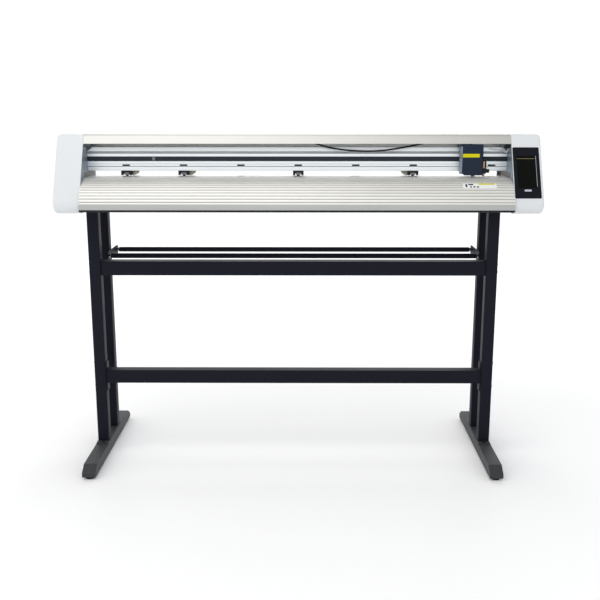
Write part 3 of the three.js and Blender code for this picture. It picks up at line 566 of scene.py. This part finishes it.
def add_feet():
    for side in SIDES:
        add_foot(side)
        reskin(f"top_plate_{side}", "powder_coat", 0.0008)
        reskin(f"roll_bracket_{side}", "powder_coat", 0.0006)
        for end in ("front", "rear"):
            node = f"foot_pad_{end}_{side}"
            x0, x1, y0, y1, _, z1 = edges_of(node)
            r = (x1 - x0) / 2
            profile = [(0, 0), (r * 0.92, 0), (r, 0.0012), (r, 0.003), (r * 0.95, 0.0036),
                       (r * 0.95, 0.0044), (r * 0.86, 0.0052), (r * 0.8, z1 - 0.0006), (r * 0.74, z1),
                       (0, z1)]
            Build().lathe("z", ((x0 + x1) / 2, (y0 + y1) / 2, 0), profile, 48).piece(
                node + "_disc", "rubber", "machine", node)


def add_roll_bars():
    for end in ("front", "rear"):
        node = f"roll_bar_{end}"
        body = f"bar_{end}"
        x0, x1, centre, r = axle_of(node)
        journal, inset, nut_in = ROLL_BAR["journal"], ROLL_BAR["inset"], ROLL_BAR["nut_in"]
        half = [(0, 0), (journal - 0.0002, 0), (journal, 0.0003), (journal, inset), (r - 0.0008, inset),
                (r, inset + 0.0008)]
        Build().lathe("x", centre, mirrored(half, x0, x1), 48).piece(
            node + "_tube", "powder_coat", body, node)
        nuts = Build()
        for start, stop in ((x0 + nut_in, x0 + inset - 0.0002), (x1 - inset + 0.0002, x1 - nut_in)):
            nuts.nut("x", centre, start, stop, ROLL_BAR["nut"])
        nuts.piece(node + "_nuts", "bright_steel", body)


# ---- machine body ----
# corners of an end cap's side outline: y, z and radius
CAP_CORNERS = [(-0.1584, 0.886, 0.03), (0.15, 0.886, 0.03), (0.088, 1.148, 0.03),
               (-0.029, 1.148, 0.014)]
CAP_FILLETS = (0.013, 0.012, 0.015, 0.007)        # bottom, rear, top and front edges of the outer face
CAP_STATIONS = (0, 0.0003, 0.001, 0.002, 0.0035, 0.0055, 0.008, 0.0115, 0.015)
CAP_WALL = 0.003
CAP_INNER = {"left": -0.734, "right": 0.725}
CAP_OUTER = 0.825
SLOPE = (Vector((0, *CAP_CORNERS[3][:2])) - Vector((0, *CAP_CORNERS[0][:2]))).normalized()
PANEL_AT = Vector((0.7716, -0.0912, 1.0222))
PANEL_SIZE = (0.0882, 0.1836)
SCREEN = {"width": 0.064, "height": 0.115, "up": 0.003}
STATUS = {"width": 0.024, "height": 0.007, "up": -0.064}
# bowed guides: the plain band's height as a share of the radius, below which the guide is painted darker as
# shade
APRON = {"y": 0.045, "z": 0.897, "radius": 0.105, "wall": 0.003, "shaded_band": 0.235}
# where the guide's grooves are, in degrees down from its top; depth in metres
GROOVES = {"first": 11.4, "pitch": 6.2, "count": 11, "depth": 0.0017, "half": 0.66}
GROOVE_LIP = 0.00025        # how far each groove's edge is rounded down
# a dark strip under a guide's lower edge: out from the edge, and height
APRON_LOW_STRIP = [(0.0012, 0.8958), (0.0012, 0.9012), (-0.0005, 0.9014), (-0.0045, 0.9008), (-0.0045, 0.8958)]
GRIT_X = (-0.6, -0.4, -0.2, 0.0, 0.2, 0.4, 0.6, 0.672)
GRIT_HALF = 0.013


def inset_outline(distances):
    """The end cap's side outline with each of its four sides drawn in by its own distance."""
    n = len(CAP_CORNERS)
    lines = []
    for i, d in enumerate(distances):
        a, b = Vector(CAP_CORNERS[i][:2]), Vector(CAP_CORNERS[(i + 1) % n][:2])
        along = (b - a).normalized()
        lines.append((a + Vector((-along.y, along.x)) * d, along))
    corners = []
    for i in range(n):
        (p, along), (q, other) = lines[i - 1], lines[i]
        cross = along.x * other.y - along.y * other.x
        t = ((q.x - p.x) * other.y - (q.y - p.y) * other.x) / cross
        radius = max(CAP_CORNERS[i][2] - min(distances[i - 1], distances[i]), 0.004)
        corners.append((*(p + along * t), radius))
    return rounded(corners, 10)


def cap_loops(build, side, wall):
    """Loops of the cap's skin from its inner rim to its outer face, all drawn in by wall."""
    s = SIDES[side]
    loops = [build.loop([(CAP_INNER[side], *p) for p in inset_outline([wall] * 4)])]
    for depth in reversed(CAP_STATIONS):
        insets = []
        for fillet in CAP_FILLETS:
            rest = max(fillet - depth, 0)
            insets.append(wall + fillet - math.sqrt(fillet * fillet - rest * rest))
        x = s * (CAP_OUTER - wall - depth)
        loops.append(build.loop([(x, *p) for p in inset_outline(insets)]))
    return loops


def panel_matrix():
    """From panel coordinates (across, up the slope, out of it) to the row frame."""
    out = Vector((1, 0, 0)).cross(SLOPE)
    m = Matrix((Vector((1, 0, 0)), SLOPE, out)).transposed().to_4x4()
    m.translation = PANEL_AT
    return m


def on_panel(outline, start, end):
    """A plate drawn in panel coordinates, from start to end out of the panel's plane."""
    return Build().prism(outline, "z", start, end).place(panel_matrix())


def carve(obj, cutters, look, body, soft=0.0, segments=2):
    """Cuts closed shapes out of a piece's mesh, finishes what is left and puts it on its body."""
    for build in cutters:
        mesh = bpy.data.meshes.new("cutter")
        bmesh.ops.recalc_face_normals(build.bm, faces=build.bm.faces)
        build.bm.to_mesh(mesh)
        build.bm.free()
        tool = add_object("cutter", mesh)
        step = obj.modifiers.new("cut", "BOOLEAN")
        step.object = tool
        step.solver = "EXACT"
        bpy.context.view_layer.update()
        result = bpy.data.meshes.new_from_object(obj.evaluated_get(bpy.context.evaluated_depsgraph_get()))
        obj.modifiers.remove(step)
        obj.data = result
        bpy.data.objects.remove(tool)
    finish_mesh(obj, look, soft, segments, 32)
    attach(obj, body)


def add_end_caps():
    for side in SIDES:
        b = Build()
        outer = cap_loops(b, side, 0.0)
        inner = cap_loops(b, side, CAP_WALL)
        b.skin(outer, ends=False)
        b.skin(inner, ends=False)
        b.skin([outer[0], inner[0]], ends=False)
        for loops in (outer, inner):
            b.bm.faces.new(loops[-1])
        node = f"end_cap_{side}"
        cap = b.piece(node + "_shell", "white_plastic", None, node)
        openings = []
        if side == "right":
            w, h = [d / 2 + GAP for d in PANEL_SIZE]
            recess = on_panel(rectangle(-w, w, -h, h, 0.004), -0.02, 0.02)
            _, _, y0, y1, z0, z1 = edges_of("power_inlet")
            socket = rectangle(y0 - GAP, y1 + GAP, z0 - GAP, z1 + GAP, 0.002)
            socket = Build().prism(socket, "x", CAP_OUTER - 0.01, CAP_OUTER + 0.01)
            openings = [recess, socket]
        carve(cap, openings, "white_plastic", "machine", 0.0006)


def add_panel():
    """The glass with its pocket, the display in it with two thin lines, a light-coloured lip down its right
    edge as painted highlight and one across near its top, and the status bar below.
    """
    w, h = [d / 2 for d in PANEL_SIZE]
    glass = on_panel(rectangle(-w, w, -h, h, 0.0037), -0.0034, 0.0006)
    panel = glass.piece("control_panel_glass", "panel_gloss", None, "control_panel")
    w, h, up = SCREEN["width"] / 2, SCREEN["height"] / 2, SCREEN["up"]
    pocket = rectangle(-w - GAP, w + GAP, up - (h + GAP), up + (h + GAP), 0.0015)
    carve(panel, [on_panel(pocket, -0.0009, 0.01)], "panel_gloss", "machine", 0.0004, 3)
    on_panel(rectangle(-w, w, up - h, up + h, 0.0012), -0.0007, 0.0003).piece(
        "display_screen", "display_gloss", "machine", "display", soft=0.0003, segments=3)
    # a thin lip down the display's right edge, coloured light to paint the highlight it catches
    right_lip_highlight = rectangle(w - 0.0006, w + 0.0005, up - h + 0.004, up + h, 0.0004, 3)
    on_panel(right_lip_highlight, 0.0004, 0.0008).piece("screen_edge_highlight", "status_bar", "machine")
    upper_line = rectangle(-w, w - 0.002, up + h - 0.0105, up + h - 0.0094, 0.0004, 3)
    on_panel(upper_line, 0.0004, 0.0007).piece("screen_line", "gold_line", "machine")
    w, h, up = STATUS["width"] / 2, STATUS["height"] / 2, STATUS["up"]
    on_panel(rectangle(-w, w, up - h, up + h, 0.0028), 0.0004, 0.0011).piece(
        "status_bar", "status_bar", "machine", soft=0.0003, segments=3)


def apron_outline(side):
    """Half a bowed guide seen from the end: ribs between fine grooves, and a turned-in lower edge."""
    radius, wall = APRON["radius"], APRON["wall"]
    centre = side * APRON["y"]

    def at(r, degrees):
        a = math.radians(degrees)
        return Vector((centre + side * r * math.sin(a), APRON["z"] + r * math.cos(a)))

    points = [at(radius, 0)]
    half, depth = GROOVES["half"], GROOVES["depth"]
    for i in range(GROOVES["count"]):
        middle = GROOVES["first"] + i * GROOVES["pitch"]
        for turn in (-0.5, -0.32):
            points.append(at(radius, middle + turn * GROOVES["pitch"]))
        fall = [(0, half + 0.55), (GROOVE_LIP, half + 0.12), (depth, half - 0.1)]
        points += [at(radius - down, middle - turn) for down, turn in fall]
        points += [at(radius - down, middle + turn) for down, turn in reversed(fall)]
    for degrees in range(77, 91, 2):
        points.append(at(radius, min(degrees, 89.9)))
    inner = radius - wall
    lip = centre + side * (inner - 0.02)
    points += [Vector((lip, APRON["z"])), Vector((lip, APRON["z"] + wall))]
    for degrees in range(88, -1, -4):
        points.append(at(inner, degrees))
    return points


def add_aprons():
    """Both guides, with darker looks of their own painted on the grooves' floors and on the lowest band as
    shade, and a dark strip under each lower edge.
    """
    for name, side in (("front", -1), ("rear", 1)):
        node = f"apron_{name}"
        x0, x1 = edges_of(node)[:2]
        guide = Build().prism(apron_outline(side), "x", x0, x1)
        guide = guide.piece(node + "_guide", "anodised", "machine", node, sharp=38)
        for look in ("groove_painted_shade", "apron_painted_shade"):
            guide.data.materials.append(LOOKS[look].material)
        centre = Vector((side * APRON["y"], APRON["z"]))
        floor_radius = APRON["radius"] - GROOVES["depth"] * 0.9
        # painted shade: the grooves' floors get the darker look at index 1
        for face in guide.data.polygons:
            arm = Vector(face.center[1:]) - centre
            if APRON["radius"] - APRON["wall"] * 0.9 < arm.length < floor_radius:
                face.material_index = 1
            # painted shade: the band below that height gets the darker look at index 2
            elif arm.y < APRON["shaded_band"] * APRON["radius"]:
                face.material_index = 2
        edge = APRON["y"] + APRON["radius"]
        low_strip = Build().prism([(side * (edge + out), z) for out, z in APRON_LOW_STRIP], "x", x0, x1)
        low_strip.piece(f"apron_edge_{name}", "black_plastic", "machine", soft=0.0003)


# patches on the front guide: x from and to, degrees down from its top from and to
LABEL = (0.554, 0.667, 31, 44)
LABEL_BAND = (0.607, 0.662, 31.3, 35.2)
LABEL_MARKS = ((0.563, 0.569, 33.5, 41.5), (0.573, 0.589, 33.0, 36.5), (0.578, 0.584, 39.5, 42.5),
               (0.589, 0.595, 39.0, 42.5), (0.6, 0.608, 39.5, 42.5))
LABEL_SHEET = (0.00005, 0.00012)      # lift off the guide and thickness
LABEL_PRINT = (0.00019, 0.00005)


def apron_patch(build, x0, x1, start, end, lift, thick, steps=10):
    """A thin patch that follows the front guide, from start to end degrees down from its top."""
    loops = []
    for x in (x0, x1):
        ring = []
        for radius, first, last in ((lift + thick, start, end), (lift, end, start)):
            for k in range(steps + 1):
                a = math.radians(first + (last - first) * k / steps)
                r = APRON["radius"] + radius
                ring.append((x, -APRON["y"] - r * math.sin(a), APRON["z"] + r * math.cos(a)))
        loops.append(build.loop(ring))
    build.skin(loops)
    return build


def add_apron_label():
    apron_patch(Build(), *LABEL, *LABEL_SHEET).piece("apron_label", "sticker_white", "machine")
    apron_patch(Build(), *LABEL_BAND, *LABEL_PRINT).piece("apron_label_band", "sticker_yellow", "machine")
    marks = Build()
    for mark in LABEL_MARKS:
        apron_patch(marks, *mark, *LABEL_PRINT, 4)
    marks.piece("apron_label_marks", "sticker_black", "machine")


def add_body():
    for side in SIDES:
        reskin(f"side_plate_{side}", "plate_steel", 0.0004)
    reskin("top_cover", "cover_alloy", 0.0005)
    reskin("platen", "anodised", 0.0003)
    reskin("cutting_strip", "strip_plastic", 0.0003)
    reskin("base_frame", "foot_paint", 0.0004)


# a paint field on each side plate's rear part: y from and to, z from and to
REAR_FIELD = (-0.055, 0.104, 0.985, 1.0195)
# the upright tab on the right one
REAR_TAB = {"width": 0.012, "front": 0.1042, "rear": 0.1049, "bottom": 0.9855, "top": 1.0255}


def add_rear_brackets():
    for side, s in SIDES.items():
        face = CAP_INNER[side]
        b = Build().prism(rectangle(*REAR_FIELD), "x", face - s * 0.00002, face - s * 0.00026)
        if side == "right":
            b.block(face - GAP - REAR_TAB["width"], face - GAP, REAR_TAB["front"], REAR_TAB["rear"],
                    REAR_TAB["bottom"], REAR_TAB["top"])
        b.piece(f"rear_bracket_{side}", "bracket_paint", "machine")


BEAM_SHOULDER = 1.0895
BEAM_END_CUT = (0.59, 0.81)           # outward and upward parts of the end planes' normal
# square grooves along the beam's front: height, half width and depth
BEAM_GROOVES = ((1.0363, 0.0011, 0.0026), (1.0447, 0.0004, 0.001), (1.0811, 0.001, 0.0026))
# dark strips in them that paint the grooves' shade: height, half width and how far in they start
BEAM_GROOVE_SHADE = ((1.0363, 0.001, 0.0006), (1.0811, 0.0009, 0.0008), (1.0447, 0.00035, 0.0004))
BEAM_MARKS = (1.0379, 1.0431)         # bottom and top of the marks over the grit rollers


def groove(y, z, half, depth):
    """A square groove in a face at y, as outline points going up."""
    return [(y, z - half), (y + depth, z - half), (y + depth, z + half), (y, z + half)]


def beam_outline(front, rear, bottom, top):
    """The extrusion seen from the end, with its belt slot, its grooves and its stepped top."""
    low, fine, high = [groove(front, *sizes) for sizes in BEAM_GROOVES]
    belt_front, belt_rear = front + 0.0035, rear - 0.004
    outline = [(front, bottom, 0.001), *low, *fine, (front, 1.054), (belt_front, 1.054),
               (belt_front, 1.05), (belt_rear, 1.05), (belt_rear, 1.075), (belt_front, 1.075),
               (belt_front, 1.0705),
               (front, 1.0705), *high, (front, 1.0826), (front + 0.0034, 1.088), (front + 0.0055, 1.088),
               (front + 0.0055, BEAM_SHOULDER), (front + 0.004, BEAM_SHOULDER), (front + 0.005, top, 0.001),
               (rear, top, 0.001), (rear, 1.05), (rear - 0.003, 1.05), (rear - 0.003, 1.045),
               (rear, 1.045), (rear, bottom, 0.001)]
    return rounded(outline, 4)


def add_beam():
    """The carriage's extrusion, its top cut back at both ends, with dark strips in its grooves that paint
    their shade, and its marks.
    """
    x0, x1, front, rear, bottom, top = edges_of("beam")
    b = Build().prism(beam_outline(front, rear, bottom, top), "x", x0, x1)
    for end, outward in ((x0, -1), (x1, 1)):
        cut = bmesh.ops.bisect_plane(
            b.bm, geom=b.bm.verts[:] + b.bm.edges[:] + b.bm.faces[:], clear_outer=True,
            plane_co=(end, 0, BEAM_SHOULDER), plane_no=(outward * BEAM_END_CUT[0], 0, BEAM_END_CUT[1]))
        rim = [e for e in cut["geom_cut"] if isinstance(e, bmesh.types.BMEdge)]
        bmesh.ops.holes_fill(b.bm, edges=rim, sides=0)
    b.piece("beam_extrusion", "beam_alloy", "machine", "beam", soft=0.00025)
    # painted shade: dark strips set into the beam's grooves
    groove_shade_strips = Build()
    for z, half, depth in BEAM_GROOVE_SHADE:
        groove_shade_strips.block(x0 + 0.001, x1 - 0.001, front + depth, front + depth + 0.0008, z - half, z + half)
    groove_shade_strips.piece("beam_groove_shade", "dull_steel", "machine")
    marks = Build()
    for x in GRIT_X:
        mark = rectangle(x - GRIT_HALF, x + GRIT_HALF, *BEAM_MARKS, 0.0006, 3)
        marks.prism(mark, "y", front - 0.0003, front - 0.00002)
    marks.piece("beam_marks", "sticker_black", "machine")


# screws in each side plate: y and z; radius and height of a head
SIDE_SCREWS = ((-0.072, 0.985), (-0.1, 0.93), (0.04, 1.112), (-0.02, 1.1), (0.03, 1.1085))
SIDE_SCREW_HEAD = (0.004, 0.0024)


def add_side_screws():
    for side, s in SIDES.items():
        face = CAP_INNER[side]
        b = Build()
        for y, z in SIDE_SCREWS:
            b.head("x", (face, y, z), -s, *SIDE_SCREW_HEAD)
        b.piece(f"side_screws_{side}", "bright_steel", "machine")


# ---- drives and electrics ----
BELT = {"y": 0.0238, "z0": 1.056, "z1": 1.069, "inner": 0.0132, "outer": 0.0148, "left": -0.772,
        "right": 0.765}
BELT_CLIP = (-0.508, -0.499)
TOOTH_PITCH = 0.005
TOOTH_HEIGHT = 0.0009
# a tooth along one pitch: share of the pitch and share of the height
TOOTH = ((0.0, 0.0), (0.14, 1.0), (0.5, 1.0), (0.64, 0.0))


def add_belt():
    """The belt's outer face with flat-topped teeth on the inner one, as two outlines of the same length."""
    straight = BELT["right"] - BELT["left"]
    radius = BELT["inner"]
    total = 2 * straight + 2 * math.pi * radius
    teeth = round(total / TOOTH_PITCH)

    def at(distance, r):
        d = distance % total
        for start, centre in ((straight, BELT["right"]), (2 * straight + math.pi * radius, BELT["left"])):
            if start <= d < start + math.pi * radius:
                turn = (d - start) / radius - math.pi / 2
                s = 1 if centre == BELT["right"] else -1
                return Vector((centre + s * r * math.cos(turn), BELT["y"] + s * r * math.sin(turn)))
        if d < straight:
            return Vector((BELT["left"] + d, BELT["y"] - r))
        return Vector((BELT["right"] - (d - straight - math.pi * radius), BELT["y"] + r))

    outer, inner = [], []
    for k in range(teeth):
        base = k * total / teeth
        for step, share in TOOTH:
            d = base + step * total / teeth
            outer.append(at(d, BELT["outer"]))
            inner.append(at(d, radius + TOOTH_HEIGHT - share * TOOTH_HEIGHT))
    Build().prism(outer, "z", BELT["z0"], BELT["z1"], inner).piece(
        "drive_belt_toothed", "belt_rubber", "machine", "drive_belt")
    face = BELT["y"] - BELT["outer"]
    clip = rectangle(*BELT_CLIP, BELT["z0"] + 0.0003, BELT["z1"] - 0.0003, 0.0008, 3)
    Build().prism(clip, "y", face - 0.0005, face - 0.00002).piece(
        "belt_clip", "dull_steel", "machine", soft=0.00015)


def add_feed_shaft():
    x0, x1, centre, r = axle_of("feed_shaft")
    rod = mirrored([(0, 0), (0.0046, 0), (0.005, 0.0004)], x0, x1)
    Build().lathe("x", centre, rod, 40).piece("feed_shaft_rod", "bright_steel", "feed", "feed_shaft")
    b = Build()
    half = [(0.0051, 0), (r - 0.0004, 0), (r, 0.0004)]
    for x in GRIT_X:
        b.lathe("x", centre, mirrored(half, x - GRIT_HALF, x + GRIT_HALF), 40)
    b.piece("grit_rollers", "grit", "feed")


def add_drives():
    add_belt()
    add_feed_shaft()
    reskin("drive_pulley", "bright_steel", 0.0003)
    reskin("idler_pulley", "bright_steel", 0.0003)
    reskin("carriage_motor", "motor_paint", 0.001)
    reskin("feed_motor", "motor_paint", 0.001)
    reskin("mainboard", "circuit", 0.0003)
    reskin("power_inlet", "black_plastic", 0.0003)
    reskin("power_switch", "black_plastic", 0.0004)


def smooth_path(points, steps):
    """Points spaced along a centripetal Catmull-Rom curve through the given ones."""
    p = [Vector(q) for q in points]
    p = [p[0] * 2 - p[1]] + p + [p[-1] * 2 - p[-2]]
    path = []
    for a, b, c, d in zip(p, p[1:], p[2:], p[3:]):
        t1 = (b - a).length ** 0.5
        t2 = t1 + (c - b).length ** 0.5
        t3 = t2 + (d - c).length ** 0.5
        for k in range(steps):
            t = t1 + (t2 - t1) * k / steps
            ab, bc, cd = a.lerp(b, t / t1), b.lerp(c, (t - t1) / (t2 - t1)), c.lerp(d, (t - t2) / (t3 - t2))
            abc = ab.lerp(bc, t / t2)
            bcd = bc.lerp(cd, (t - t1) / (t3 - t1))
            path.append(abc.lerp(bcd, (t - t1) / (t2 - t1)))
    return path + [p[-2]]


CABLE_ROUTE = [(0.042, 0.002, 1.122), (0.07, -0.006, 1.112), (0.13, -0.012, 1.098),
               (0.225, -0.013, 1.09), (0.3, -0.012, 1.093), (0.38, -0.01, 1.106),
               (0.45, -0.009, 1.119), (0.52, -0.01, 1.123), (0.572, -0.016, 1.121),
               (0.594, -0.024, 1.1174)]
CABLE_RADIUS = 0.003
# a sleeve's radius over the cable's at its held end and its far end, and its grooves' share of that
SLEEVE = {"held": 1.75, "far": 1.15, "groove": 0.88}


def add_cable():
    path = smooth_path(CABLE_ROUTE, 9)
    cable = Build().tube(path, CABLE_RADIUS, 16)
    cable = cable.piece("carriage_cable_sheath", "cable", None, "carriage_cable")
    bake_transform(cable)
    add_strain_relief("cable_sleeve_frame", path[:6], "machine")
    add_strain_relief("cable_sleeve_carriage", path[:-8:-1], "carriage")


def add_strain_relief(name, path, body):
    """A ribbed sleeve that tapers along the first of the cable, from the end it is held at."""
    steps = len(path) - 1
    radii = []
    for k in range(steps + 1):
        share = SLEEVE["held"] + (SLEEVE["far"] - SLEEVE["held"]) * k / steps
        if k % 2 and k < steps:
            share *= SLEEVE["groove"]
        radii.append(CABLE_RADIUS * share)
    Build().tube(path, radii, 16).piece(name, "black_plastic", body)


SENSOR_ROUTE = [(0.7187, -0.018, 1.1005), (0.7207, -0.019, 1.093), (0.7167, -0.012, 1.087),
                (0.7107, -0.002, 1.088), (0.7027, 0.0075, 1.0915), (0.6867, 0.01, 1.0935),
                (0.6627, 0.0102, 1.097)]
WIRE_RADIUS = 0.0011


def add_sensor():
    """The sensor's block at the beam's right end and its two wires, side by side along one route."""
    x1 = CAP_INNER["right"] - GAP
    Build().block(x1 - 0.014, x1, -0.026, -0.012, 1.1, 1.112).piece(
        "limit_sensor_block", "black_plastic", "machine", "limit_sensor", soft=0.0008, segments=3)
    for i, shift in enumerate((-0.001, 0.001)):
        route = [Vector(p) + Vector((shift * 0.4, shift * 0.3, shift)) for p in SENSOR_ROUTE]
        path = smooth_path(route, 6)
        wire = Build().tube(path, WIRE_RADIUS, 8).piece(f"limit_sensor_wire_{i + 1}", "wire", "machine")


# ---- carriage and tool ----
TOOL_AT = (0.639, -0.02)
KNOB = {"y": -0.02, "z": 1.023, "radius": 0.0066, "x0": 0.6466, "x1": 0.658, "flutes": 20,
        "flute": 0.0005, "pin": 0.0025, "pin_x": 0.644}
CARRIAGE_LABEL = (0.5625, 0.6195, 1.0704, 1.0824)       # x from and to, z from and to
CARRIAGE_SCREWS = {"y": -0.018, "heights": (1.03, 1.062, 1.094), "head": (0.003, 0.0018)}
COVER = {"wall": 0.002, "corner": 0.017, "shelf": (-0.0343, 1.0163)}    # shelf: cut behind y and below z


def add_carriage_cover():
    """A folded shell open to the back and the bottom, with rounded front corners and a cut lower one."""
    x0, x1, y0, y1, z0, z1 = edges_of("carriage_cover")
    wall = COVER["wall"]
    outer = rounded([(x0, y1), (x0, y0, 0.004), (x1, y0, 0.004), (x1, y1)], 6)
    inner = rounded([(x0 + wall, y1), (x0 + wall, y0 + wall, 0.002), (x1 - wall, y0 + wall, 0.002),
                     (x1 - wall, y1)], 6)
    sheet = outer + inner[::-1]
    b = Build().prism(sheet, "z", z0, z1)
    b.prism(inner, "z", z1 - wall, z1)
    cover = b.piece("carriage_cover_shell", "navy_plastic", None, "carriage_cover")
    low, reach = (x0 - 0.01, z0 - 0.01), COVER["corner"]
    corner = Build().prism([low, (x0 + reach, low[1]), (low[0], z0 + reach)], "y", y0 - 0.01, y1 + 0.01)
    behind, below = COVER["shelf"]
    shelf = Build().block(x0 - 0.001, x0 + wall + 0.001, behind, y1 + 0.001, z0 - 0.001, below)
    carve(cover, [corner, shelf], "navy_plastic", "carriage", 0.0006, 3)


def add_carriage_base():
    """The carriage's plate without the part of its back that would stand out to the right of the cover."""
    base = reskin("carriage_base", "plate_steel", 0.0004)
    base.parent = None
    x1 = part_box("carriage_cover")[1].x
    rest = Build().block(x1 - 0.0005, x1 + 0.03, -0.1, 0.004, 1.06, 1.13)
    carve(base, [rest], "plate_steel", "carriage")


def add_carriage():
    add_carriage_base()
    add_carriage_cover()
    reskin("tool_slide", "black_plastic", 0.0004)
    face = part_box("carriage_cover")[0].y
    label = rectangle(*CARRIAGE_LABEL, 0.0012, 4)
    Build().prism(label, "y", face - 0.0003, face - 0.00003).piece(
        "carriage_label", "sticker_yellow", "carriage", soft=0.0001)
    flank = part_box("carriage_base")[0].x
    screws = Build()
    for z in CARRIAGE_SCREWS["heights"]:
        screws.head("x", (flank, CARRIAGE_SCREWS["y"], z), -1, *CARRIAGE_SCREWS["head"])
    screws.piece("carriage_screws", "bright_steel", "carriage")


def add_blade_holder():
    x, y = TOOL_AT
    profile = [(0, 1.0028), (0.0008, 1.0028), (0.0011, 1.0046), (0.0032, 1.0066), (0.0045, 1.0092),
               (0.0045, 1.0318), (0.0048, 1.0323), (0.0059, 1.0323), (0.0062, 1.0327), (0.0062, 1.0356),
               (0.0059, 1.036), (0.0048, 1.036), (0.0045, 1.0364), (0.0045, 1.047), (0.0041, 1.0473),
               (0.0041, 1.0483), (0.0045, 1.0486), (0.0045, 1.055), (0.0038, 1.056), (0, 1.056)]
    Build().lathe("z", (x, y, 0), profile, 40).piece("blade_holder_body", "copper", "blade", "blade_holder")


def add_knob():
    """A fluted grip, two points out and two in for each flute, and the pin that it turns on."""
    y, z, x0, pin = KNOB["y"], KNOB["z"], KNOB["x0"], KNOB["pin"]
    points = KNOB["flutes"] * 4
    outline = []
    for k in range(points):
        a = 2 * math.pi * k / points
        r = KNOB["radius"] - (KNOB["flute"] if k % 4 in (2, 3) else 0)
        outline.append((y + r * math.cos(a), z + r * math.sin(a)))
    knob = Build().prism(outline, "x", x0, KNOB["x1"])
    knob.lathe("x", (0, y, z), [(0, KNOB["pin_x"]), (pin, KNOB["pin_x"]), (pin, x0), (0, x0)], 20)
    knob.piece("clamp_knob_grip", "black_plastic", "knob", "clamp_knob", soft=0.0003)


# ---- pinch rollers ----
# quarter-round levers: inner is their distance from the bracket's middle, drop their height
LEVER = {"inner": 0.0188, "radius": 0.0195, "drop": 0.0136, "top": 1.0182, "y0": 0.0215, "y1": 0.0520}


def add_pinch_arm(n):
    """The sprung arm and, where it has one, the lever beside its bracket as a piece of its own."""
    node = f"pinch_arm_{n}"
    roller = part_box(f"pinch_roller_{n}")
    middle = (roller[0].x + roller[1].x) / 2
    x0, x1, y0, y1, z0, z1 = edges_of(node)
    arm = reskin(node, "dull_steel")
    if x1 - x0 < LEVER["inner"] + LEVER["radius"]:
        return
    side = 1 if x1 - middle > middle - x0 else -1
    arm.parent = None
    start = middle + side * LEVER["inner"]
    reach = sorted((start, middle + side * 0.06))
    own = Build().block(*reach, y0 - 0.01, y1 + 0.01, z0 - 0.01, z1 + 0.01)
    carve(arm, [own], "dull_steel", f"arm_{n}")
    rim = arc(0, 0, LEVER["radius"], -90, 0, 14)
    outline = [(start, LEVER["top"])]
    outline += [(start + side * p.x, LEVER["top"] + p.y * LEVER["drop"] / LEVER["radius"]) for p in rim]
    Build().prism(outline, "y", LEVER["y0"], LEVER["y1"]).piece(
        f"pinch_lever_{n}", "lever_plastic", f"arm_{n}", soft=0.0006, segments=3)


def add_pinch_rollers():
    for n in range(1, 5):
        reskin(f"pinch_bracket_{n}", "black_plastic", 0.0003)
        add_pinch_arm(n)
        node = f"pinch_roller_{n}"
        x0, x1, centre, r = axle_of(node)
        half = [(0.00156, 0), (0.003, 0), (0.003, 0.0004), (r - 0.0012, 0.0004), (r - 0.0004, 0.0008),
                (r, 0.0016)]
        Build().lathe("x", centre, mirrored(half, x0, x1), 40).piece(
            node + "_tyre", "rubber", f"roller_{n}", node)


bpy.context.scene.view_settings.view_transform = "Standard"
add_camera()
add_lights()
add_world()
make_looks()
add_floor()
add_cable()
add_posts()
add_crossbars()
add_feet()
add_roll_bars()
add_end_caps()
add_panel()
add_aprons()
add_apron_label()
add_body()
add_rear_brackets()
add_beam()
add_side_screws()
add_drives()
add_sensor()
add_carriage()
add_blade_holder()
add_knob()
add_pinch_rollers()
